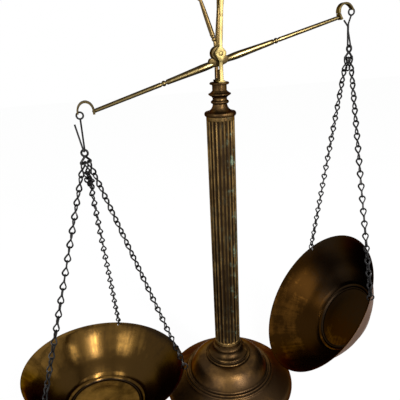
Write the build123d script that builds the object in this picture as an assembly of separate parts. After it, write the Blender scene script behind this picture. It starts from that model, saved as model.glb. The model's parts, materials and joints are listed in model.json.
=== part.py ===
"""Brass balance scale on a fluted column: one beam, two hung pans, one pan short of a chain.

Millimetres, +Z up, origin on the table under the column's axis. +X runs from the column to the
right pan, -Y faces the viewer. The beam is drawn at rest: left end down, right end up.
"""
from build123d import *
from math import atan2, cos, degrees, radians, sin
import os

# ---- stand ----------------------------------------------------------------------------------
BASE_R = 75.7            # widest radius of the base, at its rounded edge
FELT_T = 1.2             # felt under the base
EDGE_Z = 8.4             # height of the widest point of the edge
RIDGE_R, RIDGE_Z = 50.7, 26.3
DOME_R, DOME_Z = 44.4, 30.0
DOME_TOP_R, DOME_TOP_Z = 26.5, 46.0
SHELL_T = 3.0            # wall of the cast base
FOOT_TOP_Z = 65.0        # the column stands on the foot here
COLUMN_R_LOW, COLUMN_R_TOP = 14.4, 13.9
COLUMN_TOP_Z = 329.0
COLUMN_BORE_R = 11.0
FLUTES = 20
FLUTE_R = 1.55
FLUTE_END = 4.0          # plain band left at each end of the column
CAP_FLANGE_R = 15.6
NECK_R = 7.0
CAP_TOP_Z = 340.5
FINIAL_TOP_Z = 358.6
HEAD_R, HEAD_TOP_Z = 9.4, 360.8
ROD_R = 3.0              # tie rod from the base to the turned finial
ROD_GAP = 0.1

# ---- fork -----------------------------------------------------------------------------------
PIVOT_Z = 386.5
BLADE_W, BLADE_T = 3.4, 1.8
BLADE_LEAN = 4.0         # degrees, each blade leans in towards the top
BLADE_SET = 0.075        # age has set the fork over to +X above the pivot, by this share of the rise
BLADE_Y = 6.7            # middle of a blade from the fork's middle, at the pivot
BLADE_RISE = 72.0        # pivot to blade top
LEAF_W = 4.6             # width of the leaf-shaped swelling near the top
BOSS_W, BOSS_H, BOSS_T = 10.4, 14.0, 2.8
MARK_RISE = 32.0         # index mark on each blade, above the pivot
FOOT_L, FOOT_W, FOOT_T = 5.6, 6.4, 1.8
SCREW_R, SCREW_HEAD_R = 1.2, 2.0

# ---- beam, drawn level and then tilted ------------------------------------------------------
BEAM_TILT = 16.0         # degrees, left end down
PIN_R = 1.8
PIN_GAP = 0.06           # radial clearance of the pin in the blades
HUB_R, HUB_T = 6.9, 8.8
HUB_HALF_W, HUB_LOW, HUB_HIGH = 10.2, -10.8, -1.8
ARM_START, ARM_W = 11.0, -7.3           # where an arm leaves the hub: out, up
BEAD_U = 57.5
ARM_END, ARM_END_W = 125.5, -8.6
SWELL_U = 24.0                          # the inner arm is thickest up to here
INNER_R1, INNER_R2 = 3.3, 2.35
OUTER_R1, OUTER_R2 = 2.15, 1.8
HOOK_WIDTH, HOOK_TIP_WIDTH = 8.0, 6.4
EYE_U, EYE_W = 139.3, -7.8              # centre of a hanger's eye: out, up
POINTER_LEAN = 2.5
POINTER_FOOT, SPADE_FOOT, POINTER_TIP = 17.0, 47.0, 61.0
POINTER_R1, POINTER_R2 = 1.9, 1.6
SPADE_HALF_W, SPADE_T = 3.2, 1.4

# ---- hangers and chains ---------------------------------------------------------------------
WIRE_R = 0.7
EYE_R = 3.0              # middle radius of a hanger's eye
BEND_HALF = 1.7          # half the width of a hanger's V at its lowest point
LEG_DROP = {"left": 33.0, "right": 32.3}     # from the eye's centre to the lowest wire centre
EYE_TURN = {"left": 75.0, "right": 10.0}     # direction of a V's bend and of the axis of the eye in it
BAR_TURN = {"left": 36.0, "right": 10.0}     # direction of the bar that carries the chains
LOW_EYE_R = 3.0
BAR_DROP = 9.6           # from the lower eye's centre to that bar
BAR_HALF = {"left": 6.2, "right": 4.8}
BAR_STEP = {"left": 3.2, "right": 2.6}       # chains sit this far apart on the bar
LINK_T = 1.1             # wire of a chain link
LINK_GAP = 0.1
LINK_PITCH = 12.95
LINK_HALF_W, LINK_END_HALF = 2.7, 1.9

# ---- pans -----------------------------------------------------------------------------------
PAN_R = 87.7
PAN_DEPTH = 48.9
PAN_FLOOR_R = 42.0
PAN_T = 1.0
HOLE_R, HOLE_DROP = 1.9, 2.9
RING_R = 3.5             # rim rings that join a pan to its chains
RING_LEAN = 0.35         # the rings lean out of the bowl by this share
PANS = {
    "left": dict(centre=(-142.9, -1.3, 65.3), normal=(0.087, 0.054, 0.995), holes=(76.0, -14.0, -134.0)),
    "right": dict(centre=(111.5, -2.0, 98.0), normal=(-0.791, 0.119, 0.600), holes=(60.5, -57.8, 180.0)),
}
RIGHT_CHAINS = 2         # the third hole of the right pan has lost its chain

PIVOT = Vector(0, 0, PIVOT_Z)


def turned(*lines):
    """Solid of revolution about Z from a closed outline given as (radius, height) lines and arcs."""
    return revolve(Plane.XZ * make_face(Curve() + list(lines)), Axis.Z)


def tube(r_out, r_in, z0, z1):
    """Plain ring between two heights."""
    ring = Circle(r_out) - Circle(r_in)
    return Pos(0, 0, z0) * extrude(ring, z1 - z0)


# ---- stand ----------------------------------------------------------------------------------
def base_shell():
    """Cast base: rounded edge, sloping flange, ridge rings and bulbous dome, hollow below."""
    edge_r = BASE_R - 1.8
    outside = [
        Line((edge_r, FELT_T), (BASE_R - 1.0, FELT_T + 1.4)),
        ThreePointArc((BASE_R - 1.0, FELT_T + 1.4), (BASE_R, EDGE_Z), (BASE_R - 2.4, EDGE_Z + 4.4)),
        ThreePointArc((BASE_R - 2.4, EDGE_Z + 4.4), (62.0, 18.4), (RIDGE_R + 1.2, RIDGE_Z - 2.6)),
        ThreePointArc((RIDGE_R + 1.2, RIDGE_Z - 2.6), (RIDGE_R + 0.6, RIDGE_Z), (RIDGE_R - 1.7, RIDGE_Z + 0.6)),
        ThreePointArc((RIDGE_R - 1.7, RIDGE_Z + 0.6), (47.6, 28.9), (DOME_R + 1.0, DOME_Z - 1.2)),
        Line((DOME_R + 1.0, DOME_Z - 1.2), (DOME_R - 0.4, DOME_Z)),
        ThreePointArc((DOME_R - 0.4, DOME_Z), (39.2, 40.6), (DOME_TOP_R, DOME_TOP_Z)),
    ]
    inside = [
        Line((DOME_TOP_R, DOME_TOP_Z), (ROD_R + ROD_GAP, DOME_TOP_Z)),
        Line((ROD_R + ROD_GAP, DOME_TOP_Z), (ROD_R + ROD_GAP, DOME_TOP_Z - SHELL_T)),
        Line((ROD_R + ROD_GAP, DOME_TOP_Z - SHELL_T), (DOME_TOP_R, DOME_TOP_Z - SHELL_T)),
        Line((DOME_TOP_R, DOME_TOP_Z - SHELL_T), (DOME_R - SHELL_T - 4, DOME_Z - 4)),
        Line((DOME_R - SHELL_T - 4, DOME_Z - 4), (BASE_R - 8, EDGE_Z + 1.5)),
        Line((BASE_R - 8, EDGE_Z + 1.5), (BASE_R - 8, FELT_T)),
        Line((BASE_R - 8, FELT_T), (edge_r, FELT_T)),
    ]
    return turned(*outside, *inside)


def base_weight():
    """Iron slug inside the base that keeps the scale upright, drawn up by the tie rod's nut."""
    top = DOME_TOP_Z - SHELL_T
    bore = ROD_R + ROD_GAP
    return turned(Polyline((bore, 14), (36, 14), (36, DOME_Z - 8), (24, top), (bore, top), close=True))


def base_felt():
    """Felt disc that closes the base and lies on the table."""
    return Cylinder(BASE_R - 2.2, FELT_T, align=(Align.CENTER, Align.CENTER, Align.MIN))


def column_foot():
    """Turned foot between base and column: two fillet rings, a hollow and a half-round."""
    z0 = DOME_TOP_Z
    return turned(
        Polyline((ROD_R + ROD_GAP, z0), (25.6, z0), (25.6, z0 + 0.6)),
        ThreePointArc((25.6, z0 + 0.6), (26.2, z0 + 1.5), (25.2, z0 + 2.4)),
        Line((25.2, z0 + 2.4), (22.2, z0 + 3.2)),
        ThreePointArc((22.2, z0 + 3.2), (22.9, z0 + 4.3), (21.7, z0 + 5.4)),
        ThreePointArc((21.7, z0 + 5.4), (16.8, z0 + 7.4), (15.6, z0 + 10.6)),
        ThreePointArc((15.6, z0 + 10.6), (17.6, z0 + 13.4), (15.6, z0 + 16.2)),
        Polyline((15.6, z0 + 16.2), (15.2, FOOT_TOP_Z), (COLUMN_BORE_R - 0.1, FOOT_TOP_Z)),
        Polyline((COLUMN_BORE_R - 0.1, FOOT_TOP_Z), (COLUMN_BORE_R - 0.1, FOOT_TOP_Z + 6)),
        Polyline((COLUMN_BORE_R - 0.1, FOOT_TOP_Z + 6), (ROD_R + ROD_GAP, FOOT_TOP_Z + 6)),
        Line((ROD_R + ROD_GAP, FOOT_TOP_Z + 6), (ROD_R + ROD_GAP, z0)),
    )


def column_shaft():
    """Fluted brass tube, a little slimmer at the top, its flutes ending in round heads."""
    shaft = turned(Polyline(
        (COLUMN_BORE_R, FOOT_TOP_Z), (COLUMN_R_LOW, FOOT_TOP_Z),
        (COLUMN_R_TOP, COLUMN_TOP_Z), (COLUMN_BORE_R, COLUMN_TOP_Z), close=True))
    low, high = FOOT_TOP_Z + FLUTE_END, COLUMN_TOP_Z - FLUTE_END
    cutter = Pos(0, 0, low) * Cylinder(FLUTE_R, high - low, align=(Align.CENTER, Align.CENTER, Align.MIN))
    cutter += Pos(0, 0, low) * Sphere(FLUTE_R)
    cutter += Pos(0, 0, high) * Sphere(FLUTE_R)
    lean = degrees(atan2(COLUMN_R_LOW - COLUMN_R_TOP, COLUMN_TOP_Z - FOOT_TOP_Z))
    cutter = Rot(0, -lean, 0) * Pos(COLUMN_R_LOW + 0.75, 0, 0) * cutter
    for k in range(FLUTES):
        shaft -= Rot(0, 0, (k + 0.5) * 360 / FLUTES) * cutter
    return shaft


def column_cap():
    """Flange over the flutes, sweeping up in a hollow to the slim neck; a spigot enters the tube."""
    z0 = COLUMN_TOP_Z
    bore = ROD_R + ROD_GAP
    return turned(
        Polyline((bore, z0 - 8), (COLUMN_BORE_R - 0.1, z0 - 8), (COLUMN_BORE_R - 0.1, z0), (14.6, z0)),
        ThreePointArc((14.6, z0), (CAP_FLANGE_R, z0 + 2.2), (14.6, z0 + 4.0)),
        ThreePointArc((14.6, z0 + 4.0), (9.2, z0 + 6.0), (NECK_R, CAP_TOP_Z)),
        Polyline((NECK_R, CAP_TOP_Z), (bore, CAP_TOP_Z), (bore, z0 - 8)),
    )


def column_finial():
    """Turned neck piece: ring, groove, sharp diamond flange and plain drum."""
    z0 = CAP_TOP_Z
    bore = ROD_R + ROD_GAP
    return turned(
        Polyline((bore, z0), (NECK_R, z0), (8.0, z0 + 0.6)),
        ThreePointArc((8.0, z0 + 0.6), (8.8, z0 + 1.8), (8.0, z0 + 3.0)),
        ThreePointArc((8.0, z0 + 3.0), (6.9, z0 + 5.2), (8.2, z0 + 7.4)),
        Polyline((8.2, z0 + 7.4), (10.9, z0 + 8.8), (10.9, z0 + 9.8), (7.8, z0 + 11.6)),
        Polyline((7.8, z0 + 11.6), (NECK_R, z0 + 12.4), (NECK_R, FINIAL_TOP_Z), (0, FINIAL_TOP_Z)),
        Polyline((0, FINIAL_TOP_Z), (0, z0 + 10), (bore, z0 + 10), (bore, z0)),
    )


def head_flange():
    """Small round table that the fork is screwed to."""
    table = turned(
        Polyline((0, FINIAL_TOP_Z), (HEAD_R - 0.7, FINIAL_TOP_Z)),
        ThreePointArc((HEAD_R - 0.7, FINIAL_TOP_Z), (HEAD_R, FINIAL_TOP_Z + 1.1), (HEAD_R - 0.7, HEAD_TOP_Z)),
        Polyline((HEAD_R - 0.7, HEAD_TOP_Z), (0, HEAD_TOP_Z), (0, FINIAL_TOP_Z)),
    )
    for side in (-1, 1):
        table -= Pos(0, side * screw_y(), FINIAL_TOP_Z + 1.1) * Cylinder(SCREW_R + 0.1, 3)
    return table


def tie_rod():
    """Steel rod through the column that clamps base, foot, tube, cap and finial together."""
    return Pos(0, 0, 5) * Cylinder(ROD_R, CAP_TOP_Z + 9 - 5, align=(Align.CENTER, Align.CENTER, Align.MIN))


def rod_washer():
    """Washer between the nut and the iron slug."""
    return tube(9, ROD_R + ROD_GAP, 12.6, 14)


def rod_nut():
    """Hexagon nut at the lower end of the tie rod."""
    hexagon = RegularPolygon(6.4, 6) - Circle(ROD_R + ROD_GAP)
    return Pos(0, 0, 7.4) * extrude(hexagon, 5.2)


# ---- fork -----------------------------------------------------------------------------------
def blade_y(z):
    """Middle of the front or back blade from the fork's middle, at height z."""
    return BLADE_Y - (z - PIVOT_Z) * sin(radians(BLADE_LEAN))


def screw_y():
    """Place of a foot screw, from the middle."""
    return blade_y(HEAD_TOP_Z) - BLADE_T / 2 - FOOT_L / 2


def fork_blade(side):
    """Flat blade with a diamond boss round the pivot, a leaf below its top and a bent-in foot."""
    drop = PIVOT_Z - HEAD_TOP_Z
    half = BLADE_W / 2
    leaf = LEAF_W / 2
    edge = [(half, -drop - 1), (half, 0), (half, 38), (leaf, 47), (leaf, 50), (half, 62), (half, BLADE_RISE)]
    right = [(x + max(z, 0) * BLADE_SET, z) for x, z in edge]
    left = [(-x + max(z, 0) * BLADE_SET, z) for x, z in reversed(edge)]
    blade = extrude(Plane.XZ * make_face(Polyline(*right, *left, close=True)), BLADE_T / 2, both=True)
    boss = Polyline(
        (0, BOSS_H / 2), (half, BOSS_H / 2 - 1.2), (BOSS_W / 2, 1.6), (BOSS_W / 2, -0.6),
        (half, -BOSS_H / 2), (-half, -BOSS_H / 2), (-BOSS_W / 2, -0.6), (-BOSS_W / 2, 1.6),
        (-half, BOSS_H / 2 - 1.2), close=True)
    blade += Pos(0, side * (BOSS_T - BLADE_T) / 2, 0) * extrude(
        Plane.XZ * make_face(boss), BOSS_T / 2, both=True)
    mark = Pos(MARK_RISE * BLADE_SET, side * BLADE_T / 2, MARK_RISE) * Box(BLADE_W + 1, 0.6, 0.8)
    blade = (blade - mark).moved(Location(Vector(0, side * BLADE_Y, PIVOT_Z), (side * BLADE_LEAN, 0, 0)))
    foot_mid = side * (blade_y(HEAD_TOP_Z) - FOOT_L / 2 - 0.1)
    foot = Pos(0, foot_mid, HEAD_TOP_Z + FOOT_T / 2) * Box(FOOT_W, FOOT_L + 2.2, FOOT_T)
    blade = split(blade, Plane(origin=(0, 0, HEAD_TOP_Z), z_dir=(0, 0, 1)), keep=Keep.TOP) + foot
    blade -= Pos(0, side * screw_y(), HEAD_TOP_Z + 1) * Cylinder(SCREW_R + 0.1, 6)
    return blade - Pos(PIVOT) * Rot(90, 0, 0) * Cylinder(PIN_R + PIN_GAP, 40)


def fork_screw(side):
    """Cheese-head screw through a blade's foot into the head flange."""
    top = HEAD_TOP_Z + FOOT_T
    screw = Pos(0, 0, top) * Cylinder(SCREW_HEAD_R, 1.4, align=(Align.CENTER, Align.CENTER, Align.MIN))
    screw += Pos(0, 0, top) * Cylinder(SCREW_R, 3.9, align=(Align.CENTER, Align.CENTER, Align.MAX))
    screw -= Pos(0, 0, top + 1.4) * Box(5, 0.7, 1.2)
    return Pos(0, side * screw_y(), 0) * screw


def fork_crown():
    """Turned cap that joins the two blades above the pointer's path."""
    z0 = PIVOT_Z + BLADE_RISE * cos(radians(BLADE_LEAN)) + 0.05
    crown = turned(
        Polyline((0, z0), (5.0, z0), (5.6, z0 + 1.0), (5.0, z0 + 2.4), (2.4, z0 + 3.6)),
        Polyline((2.4, z0 + 3.6), (2.0, z0 + 5.2), (3.0, z0 + 7.0), (3.1, z0 + 8.2), (2.2, z0 + 9.8)),
        Polyline((2.2, z0 + 9.8), (0, z0 + 10.6), (0, z0)),
    )
    return Pos(BLADE_RISE * BLADE_SET, 0, 0) * crown


# ---- beam -----------------------------------------------------------------------------------
def tilted(level_shape):
    """Carry a shape drawn on the level beam, with the pivot as origin, to its place at rest."""
    return level_shape.moved(Location(PIVOT, (0, -BEAM_TILT, 0)))


def mirror_side(side, right_shape):
    """The right-hand shape, or its mirror image for the left."""
    return right_shape if side > 0 else mirror(right_shape, Plane.YZ)


def beam_hub():
    """Centre plate of the beam: round boss on the pin, shoulders below where the arms root."""
    body = Pos(0, (HUB_LOW + HUB_HIGH) / 2) * RectangleRounded(2 * HUB_HALF_W, HUB_HIGH - HUB_LOW, 2.4)
    plate = extrude(Plane.XZ * (Circle(HUB_R) + body), HUB_T / 2, both=True)
    plate = chamfer(plate.faces().sort_by(Axis.Y)[0].edges() + plate.faces().sort_by(Axis.Y)[-1].edges(), 0.6)
    plate -= Rot(90, 0, 0) * Cylinder(PIN_R, HUB_T + 2)
    for side in (-1, 1):
        plate -= mirror_side(side, arm_bar(ARM_START - 4, BEAD_U, INNER_R1, INNER_R1))
    neck = pointer_axis(HUB_R - 1.4) * Cylinder(1.25, 30, align=(Align.CENTER, Align.CENTER, Align.MIN))
    return tilted(plate - neck)


def pivot_pin():
    """Steel pin fixed in the hub; its ends turn in the two blades."""
    return tilted(Rot(90, 0, 0) * Cylinder(PIN_R, 2 * (BLADE_Y + BOSS_T - BLADE_T / 2 - 0.5)))


def arm_point(u):
    """Point of an arm's middle line, u out from the pivot."""
    share = (u - ARM_START) / (ARM_END - ARM_START)
    return Vector(u, 0, ARM_W + share * (ARM_END_W - ARM_W))


def arm_bar(u0, u1, r0, r1):
    """Tapered round bar along an arm's middle line."""
    start, end = arm_point(u0), arm_point(u1)
    return Plane(origin=start, z_dir=end - start) * extrude_cone(r0, r1, (end - start).length)


def extrude_cone(r0, r1, length):
    """Cone frustum or cylinder standing on its end."""
    if abs(r0 - r1) < 1e-6:
        return Cylinder(r0, length, align=(Align.CENTER, Align.CENTER, Align.MIN))
    return Cone(r0, r1, length, align=(Align.CENTER, Align.CENTER, Align.MIN))


def inner_arm(side):
    """Thicker inner half of an arm: a straight swell by the hub, then a long taper out to the bead."""
    bar = arm_bar(ARM_START - 4, SWELL_U, INNER_R1, INNER_R1)
    bar += arm_bar(SWELL_U, BEAD_U - 2.6, INNER_R1, INNER_R2)
    bar -= arm_bar(BEAD_U - 4, BEAD_U + 4, 1.3, 1.3)
    return tilted(mirror_side(side, bar))


def arm_bead(side):
    """Small turned bead between the two halves of an arm, with a spigot into each."""
    outline = Polyline((0, -3.6), (1.2, -3.6), (1.2, -2.5), (1.6, -2.5), (1.6, -1.6), (2.4, -1.3), (2.6, 0),
                       (2.4, 1.3), (1.6, 1.6), (1.6, 2.5), (1.2, 2.5), (1.2, 3.6), (0, 3.6), close=True)
    middle = Plane(origin=arm_point(BEAD_U), z_dir=arm_point(ARM_END) - arm_point(ARM_START))
    bead = middle.location * turned(outline)
    return tilted(mirror_side(side, bead))


def hook_outline():
    """Side view of an arm's end: a sharp heel, then a strip that thins as it curls out and down."""
    heel = (ARM_END + 2.6, ARM_END_W - 2.6)
    tip_out, tip_in = (EYE_U + 1.8, EYE_W + 1.9), (EYE_U + 0.8, EYE_W + 1.5)
    root = (ARM_END - 0.6, ARM_END_W + 2.6)
    return make_face(Curve() + [
        Line((ARM_END - 5, ARM_END_W - 1.7), heel),
        ThreePointArc(heel, (131.6, 1.0), tip_in),
        Line(tip_in, tip_out),
        ThreePointArc(tip_out, (132.2, 3.1), root),
        Line(root, (ARM_END - 5, ARM_END_W + 1.7)),
        Line((ARM_END - 5, ARM_END_W + 1.7), (ARM_END - 5, ARM_END_W - 1.7)),
    ])


def outer_arm(side):
    """Slim outer half of an arm and, from the same bar, the flattened hook that holds a hanger."""
    bar = arm_bar(BEAD_U + 2.6, ARM_END + 1, OUTER_R1, OUTER_R2)
    bar -= arm_bar(BEAD_U - 4, BEAD_U + 4, 1.3, 1.3)
    width = Polyline(
        (ARM_END - 5, 1.6), (ARM_END + 1, 2.4), (ARM_END + 4, HOOK_WIDTH / 2), (EYE_U - 3, HOOK_WIDTH / 2),
        (EYE_U + 3, HOOK_TIP_WIDTH / 2), (EYE_U + 3, -HOOK_TIP_WIDTH / 2), (EYE_U - 3, -HOOK_WIDTH / 2),
        (ARM_END + 4, -HOOK_WIDTH / 2), (ARM_END + 1, -2.4), (ARM_END - 5, -1.6), close=True)
    strip = extrude(Plane.XZ * hook_outline(), HOOK_WIDTH / 2, both=True)
    strip &= Pos(0, 0, -20) * extrude(make_face(width), 40)
    eye = Pos(EYE_U, 0, EYE_W) * Rot(90, 0, 0) * Torus(EYE_R, WIRE_R + 0.35)
    return tilted(mirror_side(side, bar + strip - eye))


def pointer_axis(rise):
    """Frame on the pointer's middle line, its Z along the pointer, rise above the pivot."""
    return Rot(0, -POINTER_LEAN, 0) * Pos(0.4, 0, rise)


def pointer_knuckle():
    """Turned knuckle that screws the pointer's neck into the hub."""
    knuckle = pointer_axis(HUB_R - 1.2) * Cylinder(1.2, 9.6, align=(Align.CENTER, Align.CENTER, Align.MIN))
    knuckle += pointer_axis(13.0) * Sphere(2.1)
    knuckle += pointer_axis(HUB_R + 0.1) * extrude_cone(2.3, 1.4, 4.3)
    knuckle += pointer_axis(14.9) * Cylinder(2.1, 1.6, align=(Align.CENTER, Align.CENTER, Align.MIN))
    return tilted(knuckle)


def pointer():
    """Long tapered rod that stands square to the beam and ends in a flat spade between the blades."""
    needle = pointer_axis(POINTER_FOOT - 0.4) * extrude_cone(POINTER_R1, POINTER_R2, SPADE_FOOT - POINTER_FOOT)
    half, rise = SPADE_HALF_W, POINTER_TIP - SPADE_FOOT
    spade = Polyline((0.9, -1.5), (1.2, 0), (half, rise * 0.28), (half * 0.8, rise * 0.45), (0.5, rise),
                     (-0.5, rise), (-half * 0.8, rise * 0.45), (-half, rise * 0.28), (-1.2, 0), (-0.9, -1.5), close=True)
    needle += pointer_axis(SPADE_FOOT) * extrude(Plane.XZ * make_face(spade), SPADE_T / 2, both=True)
    needle -= pointer_axis(0) * Cylinder(1.3, POINTER_FOOT + 1.4, align=(Align.CENTER, Align.CENTER, Align.MIN))
    return tilted(needle)


# ---- hangers --------------------------------------------------------------------------------
def eye_centre(side):
    """Centre of a hanger's upper eye, with the beam at rest."""
    lean = radians(BEAM_TILT)
    u = side * EYE_U
    return PIVOT + Vector(u * cos(lean) - EYE_W * sin(lean), 0, u * sin(lean) + EYE_W * cos(lean))


def level_direction(turn):
    """Level direction at an angle from +X, in degrees."""
    return Vector(cos(radians(turn)), sin(radians(turn)), 0)


def bend_middle(name):
    """Middle of the lowest part of a hanger's V, from its eye's centre."""
    aside = -0.5 if name == "left" else 0
    return Vector(aside, 0, -LEG_DROP[name])


def low_eye_centre(name):
    """Centre of the eye that hangs in a hanger's V."""
    side = -1 if name == "left" else 1
    return eye_centre(side) + bend_middle(name) + Vector(0, 0, 2 * WIRE_R + 0.05 - LOW_EYE_R)


def bar_direction(name):
    """Level direction of the bar that carries the chains."""
    return level_direction(BAR_TURN[name])


def wire_along(path, radius=WIRE_R):
    """Round wire along a path."""
    return sweep(Plane(origin=path @ 0, z_dir=path % 0) * Circle(radius), path=path)


def hanger_legs(name):
    """Corners of a hanger's wire below its eye: main leg, bend, free leg with its end turned out."""
    start, bend = Vector(0, 0, -EYE_R), bend_middle(name)
    if name == "left":
        across = level_direction(EYE_TURN[name]) * BEND_HALF
        return start, bend + across, bend - across, Vector(-5.6, -0.6, -7.6)
    across = Vector(BEND_HALF, 0, 0)
    return (start, Vector(-1.9, 0.9, -10.4), Vector(-1.6, 0.9, -17.5), bend + across,
            bend - across, Vector(-3.5, -0.9, -13.0), Vector(-8.0, -0.9, -7.5))


def hanger(name, side):
    """Wire hanger: a closed eye in the beam's hook, a main leg, a bend and a free leg."""
    eye = Rot(90, 0, 0) * Torus(EYE_R, WIRE_R + 0.02)
    return Pos(eye_centre(side)) * (eye + wire_along(FilletPolyline(*hanger_legs(name), radius=1.1)))


def lower_link(name):
    """Figure-of-eight wire in the hanger's V: a round eye above, a three-cornered loop below."""
    eye = Rot(0, 0, EYE_TURN[name]) * Rot(0, 90, 0) * Torus(LOW_EYE_R, WIRE_R)
    half = BAR_HALF[name] + 1
    corner = FilletPolyline(
        (0, 0, -LOW_EYE_R), (half, 0, -BAR_DROP), (-half, 0, -BAR_DROP), (0, 0, -LOW_EYE_R), radius=1.0)
    loop = Rot(0, 0, BAR_TURN[name]) * wire_along(corner)
    return Pos(low_eye_centre(name)) * (eye + loop)


# ---- pans -----------------------------------------------------------------------------------
def pan_plane(name):
    """Frame of a pan: origin at its rim's centre, Z out of the bowl, X uphill."""
    normal = Vector(*PANS[name]["normal"]).normalized()
    uphill = Vector(0, 1, 0).cross(normal).normalized()
    return Plane(origin=PANS[name]["centre"], x_dir=uphill, z_dir=normal)


def pan(name):
    """Spun bowl of sheet brass: flat floor with a raised ring, swelling wall, rolled rim, three holes."""
    t = PAN_T
    floor = -PAN_DEPTH
    bowl = turned(
        Polyline((0, floor), (PAN_FLOOR_R - 3.4, floor), (PAN_FLOOR_R - 2.6, floor + 1.2)),
        Line((PAN_FLOOR_R - 2.6, floor + 1.2), (PAN_FLOOR_R - 0.8, floor + 1.2)),
        ThreePointArc((PAN_FLOOR_R - 0.8, floor + 1.2), (69.0, floor + 20.2), (PAN_R - t, -0.6)),
        ThreePointArc((PAN_R - t, -0.6), (PAN_R - 0.3, 0), (PAN_R + 0.3, -0.7)),
        ThreePointArc((PAN_R + 0.3, -0.7), (69.8, floor + 19.4), (PAN_FLOOR_R - 0.4, floor)),
        Polyline((PAN_FLOOR_R - 0.4, floor), (PAN_FLOOR_R - 2.2, floor + 0.2), (PAN_FLOOR_R - 3.0, floor - t)),
        Polyline((PAN_FLOOR_R - 3.0, floor - t), (0, floor - t), (0, floor)),
    )
    for angle in PANS[name]["holes"]:
        bowl -= Rot(0, 0, angle) * Pos(PAN_R - 1, 0, -HOLE_DROP) * Rot(0, 90, 0) * Cylinder(HOLE_R, 8)
    return pan_plane(name).location * bowl


def hole_place(name, angle):
    """Middle of a rim hole, and the way out of the bowl there."""
    plane = pan_plane(name)
    outward = plane.x_dir * cos(radians(angle)) + plane.y_dir * sin(radians(angle))
    return plane.origin + outward * (PAN_R - 0.7) - plane.z_dir * HOLE_DROP, outward


def ring_plane(name, angle):
    """Frame of a rim ring: centre above its hole, Z square to the ring, nearly along the rim."""
    hole, outward = hole_place(name, angle)
    up = pan_plane(name).z_dir
    normal = up.cross(outward)
    if name == "right":
        first, second = (hole_place(name, PANS[name]["holes"][k])[0] for k in (1, 0))
        chord = (second - first).normalized()
        normal = (normal + chord * 2.5).normalized()
    reach = up + outward * RING_LEAN
    reach = (reach - normal * reach.dot(normal)).normalized()
    return Plane(origin=hole + reach * RING_R, x_dir=reach, z_dir=normal)


def chain_angles(name):
    """Angles of the holes that carry a chain."""
    holes = PANS[name]["holes"]
    return holes if name == "left" else holes[:RIGHT_CHAINS]


def chain_start(name, index):
    """Wire centre on the lower link's bar under one chain."""
    place = {"left": (0, 1, -1), "right": (-1, 1)}[name][index]
    centre = low_eye_centre(name) + Vector(0, 0, -BAR_DROP)
    return centre + bar_direction(name) * (place * BAR_STEP[name])


def chain_end(name, index):
    """Wire centre of a chain's last bar, just inside the top of its rim ring."""
    ring = ring_plane(name, chain_angles(name)[index])
    up = (chain_start(name, index) - ring.origin)
    up = (up - ring.z_dir * up.dot(ring.z_dir)).normalized()
    return ring.origin + up * (RING_R - LINK_T - 0.55)


def tip_axis():
    """Line through the right pan's two chain ends, about which that pan tips."""
    start, end = chain_end("right", 1), chain_end("right", 0)
    return Axis(origin=start, direction=end - start)


def end_bar(name, index):
    """Direction of a chain's last bar: along the tipping line on the right, along the rim on the left."""
    return tip_axis().direction if name == "right" else ring_plane(name, chain_angles(name)[index]).z_dir


def rim_ring(name, index):
    """Split ring, drawn closed, from a rim hole up to the chain."""
    ring = RegularPolygon(RING_R + LINK_T / 2, 12) - RegularPolygon(RING_R - LINK_T / 2, 12)
    return ring_plane(name, chain_angles(name)[index]).location * extrude(ring, LINK_T / 2, both=True)


# ---- jack chain -----------------------------------------------------------------------------
def link_loop(length):
    """Half of a link: a closed loop from the link's waist to its end bar, in the local XZ plane."""
    outer_end, inner_end = length + LINK_T / 2, length - LINK_T / 2
    half, end = LINK_HALF_W, LINK_END_HALF
    wide = length * 0.58
    outer = Polyline(
        (0, -0.8), (half + LINK_T / 2, wide), (end + 0.35, outer_end), (-end - 0.35, outer_end),
        (-half - LINK_T / 2, wide), close=True)
    inner = Polyline(
        (0, 1.5), (half - LINK_T / 2, wide), (end - 0.45, inner_end), (-end + 0.45, inner_end),
        (-half + LINK_T / 2, wide), close=True)
    return extrude(Plane.XZ * (make_face(outer) - make_face(inner)), LINK_T / 2, both=True)


def jack_link(length):
    """One link, length between its end bars: two teardrop loops a quarter turn apart."""
    return link_loop(length / 2) + Rot(180, 0, 0) * Rot(0, 0, 90) * link_loop(length / 2)


def chain(start, end, first_bar, last_bar):
    """Single jack chain from a bar to a rim ring, its quarter-turned links slowly twisting."""
    run = end - start
    down = run.normalized()
    overlap = LINK_T + LINK_GAP
    lead = LINK_T / 2 + WIRE_R + LINK_GAP + 0.16
    count = round((run.length + lead - overlap) / LINK_PITCH)
    length = (run.length + lead + (count - 1) * overlap) / count
    across = down.cross(first_bar).normalized()
    along = down.cross(across)
    flat_bar = (last_bar - down * last_bar.dot(down)).normalized()
    twist = degrees(atan2(flat_bar.dot(across), flat_bar.dot(along)))
    twist = (twist + 90) % 180 - 90
    link = jack_link(length)
    links = []
    for k in range(count):
        middle = start + down * (-lead + length / 2 + k * (length - overlap))
        turn = radians(-twist * k / (count - 1))
        x_dir = across * cos(turn) + along * sin(turn)
        links.append(Plane(origin=middle, x_dir=x_dir, z_dir=down * -1).location * link)
    return Compound(children=links)


def pan_chain(name, index):
    """The chain in one of a pan's holes."""
    return chain(chain_start(name, index), chain_end(name, index), bar_direction(name), end_bar(name, index))


def stub_link():
    """The one link left on the right bar by the lost chain."""
    lead = LINK_T / 2 + WIRE_R + LINK_GAP
    middle = low_eye_centre("right") + Vector(0, 0, lead - BAR_DROP - LINK_PITCH / 2)
    across = Vector(0, 0, 1).cross(bar_direction("right"))
    return Plane(origin=middle, x_dir=across, z_dir=(0, 0, 1)).location * jack_link(LINK_PITCH)


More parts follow.
